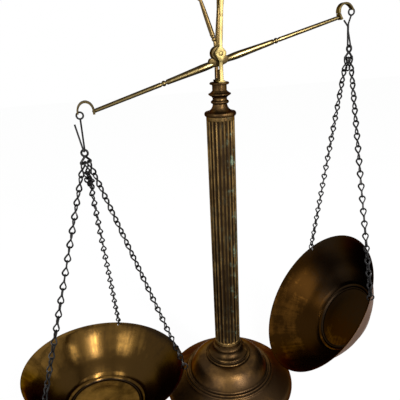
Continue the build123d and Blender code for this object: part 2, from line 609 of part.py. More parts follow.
# ---- output ---------------------------------------------------------------------------------
def all_parts():
    """Every sub-part by node name."""
    parts = {
        "base_shell": base_shell(), "base_weight": base_weight(), "base_felt": base_felt(),
        "column_foot": column_foot(), "column_shaft": column_shaft(), "column_cap": column_cap(),
        "column_finial": column_finial(), "head_flange": head_flange(), "tie_rod": tie_rod(),
        "rod_washer": rod_washer(), "rod_nut": rod_nut(),
        "fork_front_blade": fork_blade(-1), "fork_rear_blade": fork_blade(1),
        "fork_front_screw": fork_screw(-1), "fork_rear_screw": fork_screw(1), "fork_crown": fork_crown(),
        "beam_hub": beam_hub(), "pivot_pin": pivot_pin(),
        "pointer_knuckle": pointer_knuckle(), "pointer": pointer(),
        "right_stub_link": stub_link(),
    }
    for name, side in (("left", -1), ("right", 1)):
        parts[f"{name}_inner_arm"] = inner_arm(side)
        parts[f"{name}_arm_bead"] = arm_bead(side)
        parts[f"{name}_outer_arm"] = outer_arm(side)
        parts[f"{name}_hanger"] = hanger(name, side)
        parts[f"{name}_lower_link"] = lower_link(name)
        parts[f"{name}_pan"] = pan(name)
        count = len(chain_angles(name))
        parts[f"{name}_rim_rings"] = Compound(children=[rim_ring(name, k) for k in range(count)])
        for k, place in enumerate(("back", "inner", "front") if name == "left" else ("back", "front")):
            parts[f"{name}_{place}_chain"] = pan_chain(name, k)
    return parts


def main():
    """Write one STEP file per sub-part and print the joint places."""
    os.makedirs("parts", exist_ok=True)
    for name, shape in all_parts().items():
        export_step(shape, f"parts/{name}.step")
    for name, side in (("left", -1), ("right", 1)):
        print(name, "eye", eye_centre(side), "low eye", low_eye_centre(name), "bar", bar_direction(name))
    print("tip axis", tip_axis())
    print("swing axes", level_direction(EYE_TURN["left"]), level_direction(EYE_TURN["right"]))


main()
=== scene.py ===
"""Aged brass table balance: fluted column, tilting beam, two spun pans on blackened jack chain."""
import cmath
import json
import logging
import math
from collections.abc import Callable, Iterator
from contextlib import contextmanager
from dataclasses import dataclass, field, replace
from enum import Enum

import bpy
from mathutils import Matrix, Vector


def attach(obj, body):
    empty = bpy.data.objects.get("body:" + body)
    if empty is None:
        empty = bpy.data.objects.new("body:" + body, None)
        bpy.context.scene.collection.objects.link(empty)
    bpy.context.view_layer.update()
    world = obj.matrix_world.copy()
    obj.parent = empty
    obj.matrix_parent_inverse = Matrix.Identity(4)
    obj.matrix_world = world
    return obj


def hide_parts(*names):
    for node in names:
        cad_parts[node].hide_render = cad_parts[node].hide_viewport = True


LOG = logging.getLogger("balance")
MM = 0.001
WELD = 0.002 * MM
PIVOT = Vector((0.0, 0.0, 386.5))
BEAM_TILT = math.radians(16.0)

Spot = tuple[float, float]
Profile = list[Spot]
Triple = tuple[float, float, float]
Socket = bpy.types.NodeSocket
Node = bpy.types.Node
Piece = bpy.types.Object


@dataclass(frozen=True)
class Seat:
    """Where a pan hangs: the middle of its rim in millimetres, and its way out of the bowl."""

    centre: Triple
    normal: Triple

    def axes(self) -> tuple[Vector, Vector, Vector, Vector]:
        """The pan's own axes.

        Returns:
            X uphill, Y, Z out of the bowl, and the middle of the rim in millimetres.
        """
        z = Vector(self.normal).normalized()
        x = Vector((0, 1, 0)).cross(z).normalized()
        return x, z.cross(x), z, Vector(self.centre)

    def frame(self) -> Matrix:
        """Frame of the pan in metres: origin at the rim's centre, Z out of the bowl, X uphill."""
        x, _, z, origin = self.axes()
        return frame_at(origin, x, z)


LEFT_SEAT = Seat((-142.9, -1.3, 65.3), (0.087, 0.054, 0.995))
RIGHT_SEAT = Seat((111.5, -2.0, 98.0), (-0.791, 0.119, 0.600))


class Side(Enum):
    """The two ends of the beam."""

    LEFT = -1
    RIGHT = 1

    @property
    def word(self) -> str:
        """Name of the side, as the frame's nodes use it."""
        return self.name.lower()


def adjust(thing: object, settings: dict[str, object]) -> None:
    """Set several properties of a thing."""
    for key, value in settings.items():
        setattr(thing, key, value)


# ---- shader building ----
class Graph:
    """A node tree with short calls for adding and joining nodes."""

    def __init__(self, tree: bpy.types.NodeTree) -> None:
        """Wrap a material's or a group's tree."""
        self.nodes = tree.nodes
        self.links = tree.links

    def feed(self, node: Node, inputs: dict[str | int, object]) -> None:
        """Set inputs of a node, by name or place, to constants or link sockets to them.

        Args:
            node: the node.
            inputs: constants or sockets for its inputs, by name or place.
        """
        for key, value in inputs.items():
            if isinstance(value, bpy.types.NodeSocket):
                self.links.new(value, node.inputs[key])
            else:
                node.inputs[key].default_value = value

    def add(self, kind: str, inputs: dict[str | int, object] | None = None, **settings: object) -> Node:
        """Add a shader node.

        Args:
            kind: the node's type, without Blender's prefix.
            inputs: constants or sockets for its inputs, by name or place.
            settings: properties of the node, set before its inputs.

        Returns:
            The node.
        """
        node = self.nodes.new(f"ShaderNode{kind}")
        adjust(node, settings)
        self.feed(node, inputs or {})
        return node

    def maths(self, operation: str, first: object, *others: object, clamp: bool = False) -> Socket:
        """Join numbers or sockets by one operation, from left to right.

        Args:
            operation: the Math node's operation.
            first: the first number or socket.
            others: what is joined to it, one after another.
            clamp: whether each result is kept between 0 and 1.

        Returns:
            The result.
        """
        for other in others or (0.0,):
            node = self.add("Math", {0: first, 1: other}, operation=operation, use_clamp=clamp)
            first = node.outputs[0]
        return first

    def times(self, *values: object) -> Socket:
        """Multiply numbers or sockets."""
        return self.maths("MULTIPLY", *values)

    def ramp(self, value: object, low: float, high: float,
             out_low: float = 0.0, out_high: float = 1.0) -> Socket:
        """Smoothly map value from low..high to out_low..out_high."""
        inputs = {"Value": value, "From Min": low, "From Max": high, "To Min": out_low, "To Max": out_high}
        return self.add("MapRange", inputs, interpolation_type="SMOOTHSTEP").outputs["Result"]

    def mix(self, share: object, first: object, second: object) -> Socket:
        """Mix two colours; share is how much of the second there is."""
        return self.add("Mix", {0: share, 6: first, 7: second}, data_type="RGBA").outputs[2]

    def noise(self, where: object, scale: object, detail: float = 4.0, rough: float = 0.55,
              twist: float = 0.0) -> Socket:
        """Add a noise texture and return its value, 0 to 1."""
        inputs = {"Vector": where, "Scale": scale, "Detail": detail, "Roughness": rough, "Distortion": twist}
        return self.add("TexNoise", inputs).outputs["Fac"]

    def vector(self, x: object, y: object, z: object) -> Socket:
        """Combine three numbers into a vector."""
        return self.add("CombineXYZ", {0: x, 1: y, 2: z}).outputs[0]

    def split(self, where: object) -> list[Socket]:
        """Split a vector into its three numbers."""
        return list(self.add("SeparateXYZ", {0: where}).outputs)

    def band(self, value: object, low: float, high: float, soft: float) -> Socket:
        """1 where value is between low and high, 0 outside, with soft ends."""
        start = self.ramp(value, low - soft, low + soft)
        return self.times(start, self.ramp(value, high - soft, high + soft, 1.0, 0.0))

    def bump(self, shader: Node, height: Socket, strength: float, depth: float) -> None:
        """Let a height bend a shader's normal; a height of 1 stands for so many metres of depth."""
        bump = self.add("Bump", {"Strength": strength, "Distance": depth, "Height": height})
        self.feed(shader, {"Normal": bump.outputs["Normal"]})

    def eye_rays(self) -> Socket:
        """1 for what the camera sees, straight, mirrored or through glass, 0 for the light itself.

        Returns:
            The share as a socket.
        """
        path = self.add("LightPath").outputs
        kinds = ("Camera", "Glossy", "Transmission")
        return self.maths("MAXIMUM", *(path[f"Is {kind} Ray"] for kind in kinds))


def new_group(name: str, inputs: dict[str, tuple[str, object]],
              outputs: dict[str, str]) -> tuple[bpy.types.NodeTree, Graph, dict[str, Socket], Node]:
    """Start a shader node group.

    Args:
        name: the group's name.
        inputs: socket name to (socket kind, default value).
        outputs: socket name to socket kind.

    Returns:
        The tree, a graph on it, its input sockets by name, and its output node.
    """
    tree = bpy.data.node_groups.new(name, "ShaderNodeTree")
    for label, (kind, default) in inputs.items():
        socket = tree.interface.new_socket(name=label, in_out="INPUT", socket_type=f"NodeSocket{kind}")
        if default is not None:
            socket.default_value = default
    for label, kind in outputs.items():
        tree.interface.new_socket(name=label, in_out="OUTPUT", socket_type=f"NodeSocket{kind}")
    entry = tree.nodes.new("NodeGroupInput")
    sockets = {socket.name: socket for socket in entry.outputs if socket.name}
    return tree, Graph(tree), sockets, tree.nodes.new("NodeGroupOutput")


class PatinaGroups:
    """The node groups that the finishes share."""

    FINE_STEP = 6.0
    CONTRAST = 3.2
    SPOTS = 90.0
    GREEN = (0.16, 0.22, 0.15, 1)
    DENT_SCALE = 35.0
    GRAIN_SCALE = 900.0
    GRAIN_STRETCH = (1.0, 1.0, 0.25)

    def __init__(self) -> None:
        """Build each group once."""
        self.tarnish = self._tarnish()
        self.scuffs = self._scuffs()

    def _tarnish(self) -> bpy.types.NodeTree:
        """Cloudy brown tarnish, darker in hollows as tarnish and as painted shade, with a few spots of
        verdigris.

        Returns:
            The group's tree.
        """
        tree, g, s, out = new_group(
            "Tarnish",
            {"Position": ("Vector", None), "Hollow": ("Float", 1.0), "Cloud": ("Float", 40.0),
             "Amount": ("Float", 0.5), "Bright": ("Color", (0.6, 0.45, 0.2, 1)),
             "Dull": ("Color", (0.3, 0.2, 0.1, 1)), "Deep": ("Color", (0.05, 0.03, 0.02, 1)),
             "Verdigris": ("Float", 0.0)},
            {"Color": "Color", "Cover": "Float"})
        large = g.noise(s["Position"], s["Cloud"])
        fine = g.noise(s["Position"], g.times(s["Cloud"], self.FINE_STEP), 8.0, 0.7)
        cloud = g.maths("ADD", g.times(large, 0.7), g.times(fine, 0.3))
        edge = g.maths("SUBTRACT", 0.95, g.times(s["Amount"], 0.9))
        excess = g.maths("SUBTRACT", g.maths("ADD", cloud, 0.25), g.times(edge, 0.9))
        cover = g.maths("MULTIPLY", excess, self.CONTRAST, clamp=True)
        base = g.mix(cover, s["Bright"], s["Dull"])
        # Painted shade and tarnish: a low mark darkens towards the deep colour; on the arms a high mark keeps
        # a painted highlight bright.
        pit = g.maths("ADD", s["Hollow"], g.times(g.maths("SUBTRACT", fine, 0.5), 0.5))
        sunk = g.ramp(pit, 0.25, 0.62, 1.0, 0.0)
        base = g.mix(sunk, base, s["Deep"])
        green = g.times(g.ramp(g.noise(s["Position"], self.SPOTS, 6.0, 0.7), 0.52, 0.68), s["Verdigris"])
        g.feed(out, {"Color": g.mix(green, base, self.GREEN), "Cover": g.maths("MAXIMUM", cover, sunk)})
        return tree

    def _scuffs(self) -> bpy.types.NodeTree:
        """Height of fine scratches, small dents and slow unevenness of worked metal.

        Returns:
            The group's tree.
        """
        tree, g, s, out = new_group(
            "Scuffs",
            {"Position": ("Vector", None), "Grain": ("Float", 0.3), "Dents": ("Float", 0.3)},
            {"Height": "Float"})
        dents = g.times(g.noise(s["Position"], self.DENT_SCALE, 2.0), s["Dents"])
        drawn = g.add("Mapping", {"Vector": s["Position"], "Scale": self.GRAIN_STRETCH}).outputs["Vector"]
        grain = g.times(g.noise(drawn, self.GRAIN_SCALE, 3.0, 0.6), s["Grain"])
        g.feed(out, {"Height": g.maths("ADD", dents, grain)})
        return tree


@dataclass(frozen=True)
class Finish:
    """What every finish has: its material's name and a slot name, which the script stores but doesn't use."""

    name: str
    slot: str

    def build(self, groups: PatinaGroups | None = None) -> bpy.types.Material:
        """Make the material.

        Args:
            groups: shared node groups, which only brass needs.

        Returns:
            The new material.
        """
        material = bpy.data.materials.new(self.name)
        material.use_nodes = True
        g = Graph(material.node_tree)
        self.paint(g, g.nodes["Principled BSDF"], g.add("TexCoord").outputs["Object"], groups)
        return material

    def paint(self, g: Graph, shader: Node, where: Socket, groups: PatinaGroups) -> None:
        """Feed the shader; every kind of finish has its own way.

        Args:
            g: graph of the material.
            shader: its Principled node.
            where: object coordinates.
            groups: shared node groups.
        """
        raise NotImplementedError


@dataclass(frozen=True)
class BrassFinish(Finish):
    """One state of the brass: its colours, how far the tarnish has gone and how it shines."""

    bright: Triple
    dull: Triple
    deep: Triple = (0.018, 0.011, 0.006)
    tarnish: float = 0.5
    cloud: float = 40.0
    rough: tuple[float, float] = (0.26, 0.5)
    edge_tint: Triple = (0.35, 0.28, 0.2)
    verdigris: float = 0.0
    dents: float = 0.3
    grain: float = 0.25
    hollows: bool = False

    def paint(self, g: Graph, shader: Node, where: Socket, groups: PatinaGroups) -> None:
        """Feed the shader with tarnished and scuffed brass.

        Args:
            g: graph of the material.
            shader: its Principled node.
            where: object coordinates.
            groups: shared node groups.
        """
        colours = {"Bright": (*self.bright, 1.0), "Dull": (*self.dull, 1.0), "Deep": (*self.deep, 1.0)}
        tarnish = g.add("Group", {"Position": where, "Cloud": self.cloud, "Amount": self.tarnish,
                                  "Verdigris": self.verdigris, **colours}, node_tree=groups.tarnish)
        self.pattern(g, where, tarnish)
        g.feed(shader, {"Base Color": tarnish.outputs["Color"], "Metallic": 1.0,
                        "Roughness": g.ramp(tarnish.outputs["Cover"], 0.0, 1.0, *self.rough),
                        "Specular Tint": (*self.edge_tint, 1.0)})
        scuffs = g.add("Group", {"Position": where, "Grain": self.grain, "Dents": self.dents},
                       node_tree=groups.scuffs)
        g.bump(shader, scuffs.outputs["Height"], 0.35, 0.6 * MM)

    def pattern(self, g: Graph, where: Socket, tarnish: Node) -> None:
        """Feed the tarnish with what changes over the piece: dark hollows as tarnish and painted shade,
        painted highlight and shade on pieces that store them, and green on one side.

        Args:
            g: graph of the material.
            where: object coordinates.
            tarnish: the tarnish group's node.
        """
        # The stored mark darkens hollows as tarnish and painted shade; on the arms and the rear blade it
        # holds painted highlight and painted shade.
        if self.hollows:
            hollow = g.add("Attribute", attribute_name="Hollow")
            g.feed(tarnish, {"Hollow": hollow.outputs["Fac"]})
        if self.verdigris:
            side = g.ramp(g.split(where)[0], -0.002, 0.01, 0.1, 1.0)
            g.feed(tarnish, {"Verdigris": g.times(side, self.verdigris)})


@dataclass(frozen=True)
class PanFinish(BrassFinish):
    """Spun sheet: tarnish in streaks from the middle and in rings; the groove round the floor darker, as
    tarnish and painted shade; painted shade on one side and in a ring on the shoulder; darker towards the
    rim.
    """

    seat: Seat = LEFT_SEAT
    streaks: float = 0.5
    rings: float = 0.3
    # shade is painted shade along the scene's X: from, to and strength; shoulder is a ring of painted shade.
    shade: Triple = (0.0, 1.0, 0.0)
    floor: float = 0.1
    shoulder: float = 0.3
    open_metal: float = 0.85

    # Where the pattern changes, as distances from the middle in metres.
    INNER_END = (0.01, 0.05)
    FLOOR_END = (0.034, 0.041)
    GROOVE = (0.0368, 0.0402, 0.0008)
    SHOULDER = (0.045, 0.06, 0.005)
    RIM = (0.078, 0.087)

    def pattern(self, g: Graph, where: Socket, tarnish: Node) -> None:
        """Feed the tarnish with the pan's own pattern.

        Args:
            g: graph of the material.
            where: object coordinates.
            tarnish: the tarnish group's node.
        """
        frame = self.seat.frame()
        local = g.add("Mapping", {"Vector": where, "Location": frame.to_translation(),
                                  "Rotation": frame.to_euler()}, vector_type="TEXTURE")
        x, y, _ = g.split(local.outputs["Vector"])
        radius = g.maths("SQRT", g.maths("ADD", g.times(x, x), g.times(y, y)))
        way_x, way_y = g.maths("DIVIDE", x, radius), g.maths("DIVIDE", y, radius)
        spokes = g.vector(g.times(way_x, 7.0), g.times(way_y, 7.0), g.times(radius, 14.0))
        streak = g.maths("SUBTRACT", g.noise(spokes, 1.0, 6.0, 0.62), 0.5)
        turns = g.vector(g.times(way_x, 0.9), g.times(way_y, 0.9), g.times(radius, 90.0))
        ring = g.maths("SUBTRACT", g.noise(turns, 1.0, 5.0, 0.6), 0.5)
        # Painted shade: one side of the pan darker along the scene's X.
        low, high, gain = self.shade
        side = g.times(g.ramp(g.split(where)[0], low, high), gain)
        # Tarnish from streaks, rings and the floor, plus the painted shade of the side and of the shoulder
        # ring.
        amount = g.maths("ADD", self.tarnish,
                         g.times(streak, g.times(g.ramp(radius, *self.INNER_END), self.streaks)),
                         g.times(ring, self.rings), side,
                         g.times(g.ramp(radius, *self.FLOOR_END, 1.0, 0.0), self.floor),
                         g.times(g.band(radius, *self.SHOULDER), self.shoulder))
        # Groove darker as tarnish and painted shade; darker towards the rim; the side's painted shade darkens
        # the mark too.
        groove = g.times(g.band(radius, *self.GROOVE), 0.75)
        rim = g.times(g.ramp(radius, *self.RIM), 0.2)
        g.feed(tarnish, {"Amount": amount, "Hollow": g.maths("SUBTRACT", self.open_metal, groove, rim, side)})


@dataclass(frozen=True)
class WireFinish(Finish):
    """Blackened or plain drawn wire and plain turned steel."""

    colour: Triple
    worn: Triple
    rough: float = 0.45
    metallic: float = 0.8

    def paint(self, g: Graph, shader: Node, where: Socket, groups: PatinaGroups) -> None:
        """Feed the shader with drawn or cast metal, its colour worn off in spots.

        Args:
            g: graph of the material.
            shader: its Principled node.
            where: object coordinates.
            groups: shared node groups, which wire doesn't use.
        """
        wear = g.ramp(g.noise(where, 220.0, 5.0, 0.65), 0.52, 0.72)
        g.feed(shader, {"Base Color": g.mix(wear, (*self.colour, 1.0), (*self.worn, 1.0)),
                        "Roughness": g.ramp(wear, 0.0, 1.0, self.rough, self.rough * 0.7),
                        "Metallic": self.metallic})
        g.bump(shader, g.noise(where, 700.0, 3.0), 0.25, 0.3 * MM)


@dataclass(frozen=True)
class FeltFinish(Finish):
    """Matted green felt."""

    colour: Triple
    paler: float = 1.7

    def paint(self, g: Graph, shader: Node, where: Socket, groups: PatinaGroups) -> None:
        """Feed the shader with fine fibres.

        Args:
            g: graph of the material.
            shader: its Principled node.
            where: object coordinates.
            groups: shared node groups, which felt doesn't use.
        """
        fibre = g.noise(where, 1200.0, 5.0, 0.7, 1.5)
        pale = tuple(min(1.0, c * self.paler) for c in self.colour)
        g.feed(shader, {"Base Color": g.mix(fibre, (*self.colour, 1.0), (*pale, 1.0)), "Roughness": 0.95})
        g.bump(shader, fibre, 0.5, 0.4 * MM)


@dataclass(frozen=True)
class FloorFinish(Finish):
    """Matt white that looks evenly bright to the eye and still takes a shadow."""

    white: float = 0.95
    glow: float = 0.95

    def paint(self, g: Graph, shader: Node, where: Socket, groups: PatinaGroups) -> None:
        """Feed the output with a mix of matt white and, for what the eye sees, even light.

        Args:
            g: graph of the material.
            shader: its Principled node.
            where: object coordinates, not used.
            groups: shared node groups, which the floor doesn't use.
        """
        g.feed(shader, {"Base Color": (self.white, self.white, self.white, 1), "Roughness": 0.9})
        light = g.add("Emission", {"Color": (1, 1, 1, 1), "Strength": 1.0})
        share = g.times(g.eye_rays(), self.glow)
        blend = g.add("MixShader", {0: share, 1: shader.outputs[0], 2: light.outputs[0]})
        g.feed(g.nodes["Material Output"], {"Surface": blend.outputs[0]})


class Finishes:
    """All finishes of the balance, built once."""

    COLUMN = BrassFinish("column_brass", "antique_brass", (0.3, 0.185, 0.062), (0.058, 0.034, 0.013),
                         tarnish=0.46, cloud=42.0, rough=(0.28, 0.44), verdigris=0.9, hollows=True)
    BASE = BrassFinish("base_brass", "dark_brass", (0.17, 0.088, 0.026), (0.042, 0.0235, 0.0105),
                       tarnish=0.47, cloud=26.0, rough=(0.22, 0.4), edge_tint=(0.45, 0.36, 0.28),
                       hollows=True)
    NECK = BrassFinish("neck_brass", "antique_brass", (0.2, 0.115, 0.04), (0.036, 0.02, 0.008),
                       cloud=60.0, rough=(0.24, 0.4), edge_tint=(0.3, 0.22, 0.15), hollows=True)
    PALE = BrassFinish("blade_brass", "pale_brass", (0.205, 0.155, 0.06), (0.158, 0.118, 0.044),
                       tarnish=0.4, cloud=22.0, rough=(0.34, 0.44), dents=0.1, grain=0.03)
    GOLDEN = BrassFinish("pointer_brass", "antique_brass", (0.27, 0.185, 0.07), (0.085, 0.055, 0.02),
                         tarnish=0.45, cloud=26.0, rough=(0.22, 0.36), edge_tint=(0.08, 0.06, 0.04),
                         dents=0.15, grain=0.05)
    # The rear blade adds a deep colour for the painted shade on its lower part.
    REAR_BLADE = replace(GOLDEN, name="rear_blade_brass", deep=(0.05, 0.03, 0.012), hollows=True)
    OLIVE = BrassFinish("olive_brass", "antique_brass", (0.17, 0.118, 0.042), (0.05, 0.033, 0.013),
                        tarnish=0.48, cloud=32.0, rough=(0.24, 0.42), edge_tint=(0.2, 0.15, 0.08), grain=0.07)
    # Arm brass reads the arms' painted sheen: a painted highlight line on the front and painted shade
    # elsewhere, towards its deep colour.
    ARM = BrassFinish("arm_brass", "antique_brass", (0.235, 0.176, 0.076), (0.145, 0.107, 0.044),
                      deep=(0.036, 0.024, 0.009), tarnish=0.4, cloud=16.0, rough=(0.16, 0.28),
                      edge_tint=(0.06, 0.045, 0.03), dents=0.1, grain=0.05, hollows=True)
    # The pans' shade and shoulder values are painted shade.
    LEFT_PAN = PanFinish("left_pan_brass", "sheet_brass", (0.16, 0.086, 0.02), (0.048, 0.0255, 0.0068),
                         tarnish=0.38, cloud=20.0, rough=(0.1, 0.22), edge_tint=(0.4, 0.3, 0.18), dents=0.7,
                         grain=0.1, seat=LEFT_SEAT, streaks=0.8, rings=0.5, shade=(-0.13, -0.075, 0.32),
                         floor=-0.12, shoulder=0.2)
    RIGHT_PAN = PanFinish("right_pan_brass", "sheet_brass", (0.1, 0.042, 0.007), (0.024, 0.01, 0.0018),
                          tarnish=0.46, cloud=30.0, rough=(0.15, 0.3), edge_tint=(0.35, 0.25, 0.15),
                          dents=0.7, grain=0.1, seat=RIGHT_SEAT, streaks=0.7, rings=0.9,
                          shade=(0.115, 0.165, 0.55), floor=-0.12, shoulder=0.12)
    PAN_BACK = BrassFinish("pan_back_brass", "sheet_brass", (0.2, 0.135, 0.105), (0.11, 0.07, 0.052),
                           cloud=30.0, rough=(0.3, 0.45), edge_tint=(0.6, 0.5, 0.45), dents=0.5, grain=0.12)
    WIRE = WireFinish("dark_wire", "dark_wire", (0.006, 0.0055, 0.0055), (0.035, 0.032, 0.03))
    STEEL = WireFinish("plain_steel", "steel", (0.32, 0.31, 0.29), (0.55, 0.53, 0.5), 0.38, 1.0)
    IRON = WireFinish("cast_iron", "iron", (0.03, 0.03, 0.032), (0.09, 0.085, 0.08), 0.7, 0.5)
    FELT = FeltFinish("green_felt", "felt", (0.012, 0.035, 0.014))

    def __init__(self) -> None:
        """Build every material."""
        groups = PatinaGroups()
        self._made = {finish.name: finish.build(groups)
                      for finish in vars(Finishes).values() if isinstance(finish, Finish)}

    def dress(self, piece: Piece, *finishes: Finish) -> None:
        """Give a piece its finishes.

        Args:
            piece: mesh object to dress.
            finishes: the main one, and after it any that some of its faces get.
        """
        piece.data.materials.clear()
        for finish in finishes:
            piece.data.materials.append(self._made[finish.name])

    def keep(self, piece: Piece, finish: Finish, body: str, *nodes: str) -> None:
        """Dress a piece and enter it."""
        self.dress(piece, finish)
        enter(piece, finish, body, *nodes)


def enter(piece: Piece, finish: Finish, body: str, *nodes: str) -> None:
    """Attach a dressed piece to the body that it moves with and hide the CAD nodes that it stands for.

    Args:
        piece: the finished piece.
        finish: the finish, not used.
        body: the body that it moves with.
        nodes: the CAD nodes that it stands for.
    """
    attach(piece, body)
    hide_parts(*nodes)
    LOG.info("%s: %s", body, piece.name)


# ---- modelling ----
def deselect() -> None:
    """Leave edit mode and deselect everything."""
    if bpy.context.object and bpy.context.object.mode != "OBJECT":
        bpy.ops.object.mode_set(mode="OBJECT")
    bpy.ops.object.select_all(action="DESELECT")


def pick(*pieces: Piece) -> None:
    """Select only these pieces, the first one active.

    Args:
        pieces: the pieces, one or more.
    """
    deselect()
    for piece in pieces:
        piece.select_set(True)
    bpy.context.view_layer.objects.active = pieces[0]


def primitive(operator: Callable, **settings: object) -> Piece:
    """Add one of Blender's own mesh shapes.

    Args:
        operator: the operator that adds the shape.
        settings: the operator's settings.

    Returns:
        The new piece.
    """
    deselect()
    operator(**settings)
    return bpy.context.object


def linked(name: str, data: bpy.types.ID) -> Piece:
    """Add an object to the scene.

    Args:
        name: the object's name.
        data: its mesh, curve, lamp or camera.

    Returns:
        The object.
    """
    thing = bpy.data.objects.new(name, data)
    bpy.context.scene.collection.objects.link(thing)
    return thing


@contextmanager
def edit(piece: Piece) -> Iterator[None]:
    """Edit a piece's mesh, with everything selected at first.

    Args:
        piece: mesh object to edit.
    """
    pick(piece)
    bpy.ops.object.mode_set(mode="EDIT")
    bpy.ops.mesh.select_all(action="SELECT")
    yield
    bpy.ops.object.mode_set(mode="OBJECT")


def weld() -> None:
    """Merge doubles and turn the faces outwards, in edit mode."""
    bpy.ops.mesh.select_all(action="SELECT")
    bpy.ops.mesh.remove_doubles(threshold=WELD)
    bpy.ops.mesh.normals_make_consistent(inside=False)


def arc(start: Spot, through: Spot, end: Spot, steps: int) -> Profile:
    """Points on the arc from start through a middle spot to end, both ends included.

    Args:
        start: first (radius, height).
        through: a spot on the arc.
        end: last (radius, height).
        steps: number of chords.

    Returns:
        The points.
    """
    a, b, c = complex(*start), complex(*through), complex(*end)
    ratio = (c - a) / (b - a)
    centre = a + (b - a) * (ratio - abs(ratio) ** 2) / (2j * ratio.imag)
    halfway, sweep = (cmath.phase((p - centre) / (a - centre)) % math.tau for p in (b, c))
    if halfway > sweep:
        sweep -= math.tau
    points = [centre + (a - centre) * cmath.exp(1j * sweep * k / steps) for k in range(steps + 1)]
    return [(p.real, p.imag) for p in points]


def trace(*parts: tuple, base: float = 0.0) -> Profile:
    """Points of a line given by spots and arcs.

    Args:
        parts: spots, and arcs as (start, through, end, steps).
        base: height that all of it is raised by.

    Returns:
        The points.
    """
    found: Profile = []
    for part in parts:
        found += arc(*part) if isinstance(part[0], tuple) else [part]
    return [(x, base + y) for x, y in found]


def flow(points: Profile, per: int = 5) -> Profile:
    """Points on a smooth curve that runs through all the given points.

    Args:
        points: (radius, height) points to run through.
        per: number of chords between two of them.

    Returns:
        The points, both ends included.
    """
    ends = [points[0], *points, points[-1]]
    found = []
    for before, start, end, after in zip(ends, ends[1:], ends[2:], ends[3:]):
        a, b, c, d = (Vector(p) for p in (before, start, end, after))
        for k in range(per):
            t = k / per
            bend, skew = 2 * a - 5 * b + 4 * c - d, 3 * b - a - 3 * c + d
            spot = (2 * b + (c - a) * t + bend * t ** 2 + skew * t ** 3) / 2
            found.append((spot.x, spot.y))
    return found + [points[-1]]


def beside(points: Profile, distance: float) -> Profile:
    """The line that runs beside another at a distance, on its left.

    Args:
        points: the line.
        distance: how far the new one lies from it.

    Returns:
        The new line's points.
    """
    found = []
    for before, here, after in zip([points[0], *points], points, [*points[1:], points[-1]]):
        way = (Vector(after) - Vector(before)).normalized()
        found.append((here[0] - way.y * distance, here[1] + way.x * distance))
    return found


def plate(name: str, outline: Profile, half_t: float, edge: float) -> Piece:
    """Flat plate with worn edges that stands in the XZ plane, in millimetres.

    Args:
        name: the piece's name.
        outline: corners (x, z) in order round the plate.
        half_t: half its thickness, along Y.
        edge: width of the worn edge.

    Returns:
        The plate as a mesh in metres.
    """
    piece = named(primitive(bpy.ops.mesh.primitive_circle_add, vertices=len(outline), radius=MM,
                            fill_type="NGON"), name)
    for vertex, (x, z) in zip(piece.data.vertices, outline):
        vertex.co = Vector((x, -half_t, z)) * MM
    with edit(piece):
        bpy.ops.mesh.extrude_region_move(TRANSFORM_OT_translate={"value": (0, 2 * half_t * MM, 0)})
        weld()
    return smooth(bevelled(piece, edge, 2, 40.0), 40.0)


def lathe(name: str, profile: Profile, steps: int = 96) -> Piece:
    """Turn a profile about Z.

    Args:
        name: the piece's name.
        profile: (radius, height) points in millimetres, from one end to the other.
        steps: divisions of the full turn.

    Returns:
        The turned piece, in metres.
    """
    piece = named(primitive(bpy.ops.mesh.primitive_plane_add, size=MM), name)
    points = [Vector((r * MM, 0, z * MM)) for r, z in profile]
    with edit(piece):
        bpy.ops.mesh.merge(type="CENTER")
        bpy.ops.transform.translate(value=points[0])
        for here, there in zip(points, points[1:]):
            bpy.ops.mesh.extrude_region_move(TRANSFORM_OT_translate={"value": there - here})
        bpy.ops.mesh.select_all(action="SELECT")
        bpy.ops.mesh.spin(steps=steps, angle=math.tau, center=(0, 0, 0), axis=(0, 0, 1))
        weld()
    return piece


def named(piece: Piece, name: str) -> Piece:
    """Give a piece and its mesh the same name."""
    piece.name = piece.data.name = name
    return piece


def modify(piece: Piece, kind: str, **values: object) -> Piece:
    """Add a modifier, set it and apply it.

    Args:
        piece: mesh object to change.
        kind: the modifier's type.
        values: the modifier's settings.

    Returns:
        The piece.
    """
    pick(piece)
    modifier = piece.modifiers.new(kind.title(), kind)
    adjust(modifier, values)
    bpy.ops.object.modifier_apply(modifier=modifier.name)
    return piece


def bevelled(piece: Piece, width: float, segments: int, degrees: float) -> Piece:
    """Round a piece's sharp edges.

    Args:
        piece: mesh object to change.
        width: width of the rounding in millimetres.
        segments: number of faces across it.
        degrees: angle from which an edge is sharp.

    Returns:
        The piece.
    """
    return modify(piece, "BEVEL", width=width * MM, segments=segments, limit_method="ANGLE",
                  angle_limit=math.radians(degrees))


def applied(piece: Piece) -> Piece:
    """Apply a piece's place to its mesh.

    Args:
        piece: the piece.

    Returns:
        The piece.
    """
    pick(piece)
    bpy.ops.object.transform_apply(location=True, rotation=True, scale=True)
    return piece


def settle(piece: Piece, matrix: Matrix) -> Piece:
    """Carry a piece modelled in its own frame to its place and apply that to the mesh.

    Args:
        piece: mesh object to place.
        matrix: its place, in metres.

    Returns:
        The piece.
    """
    pick(piece)
    piece.matrix_world = matrix @ piece.matrix_world
    return applied(piece)


def join(name: str, pieces: list[Piece]) -> Piece:
    """Join pieces into one and name it.

    Args:
        name: the joined piece's name.
        pieces: the pieces, one or more.

    Returns:
        The joined piece.
    """
    pick(*pieces)
    if len(pieces) > 1:
        bpy.ops.object.join()
    return named(bpy.context.object, name)


def smooth(piece: Piece, degrees: float = 35.0) -> Piece:
    """Shade a piece smooth, with edges sharper than the angle kept.

    Args:
        piece: mesh object to shade.
        degrees: angle from which an edge stays sharp.

    Returns:
        The piece.
    """
    pick(piece)
    bpy.ops.object.shade_smooth_by_angle(angle=math.radians(degrees))
    return piece


def mark(piece: Piece, values: list[float]) -> None:
    """Store a 0 to 1 mark per point, as the finishes read it: low values darken, as tarnish in hollows and as
    painted shade, and on the arms high values give a painted highlight.
    """
    layer = piece.data.attributes.new("Hollow", "FLOAT", "POINT")
    layer.data.foreach_set("value", values)


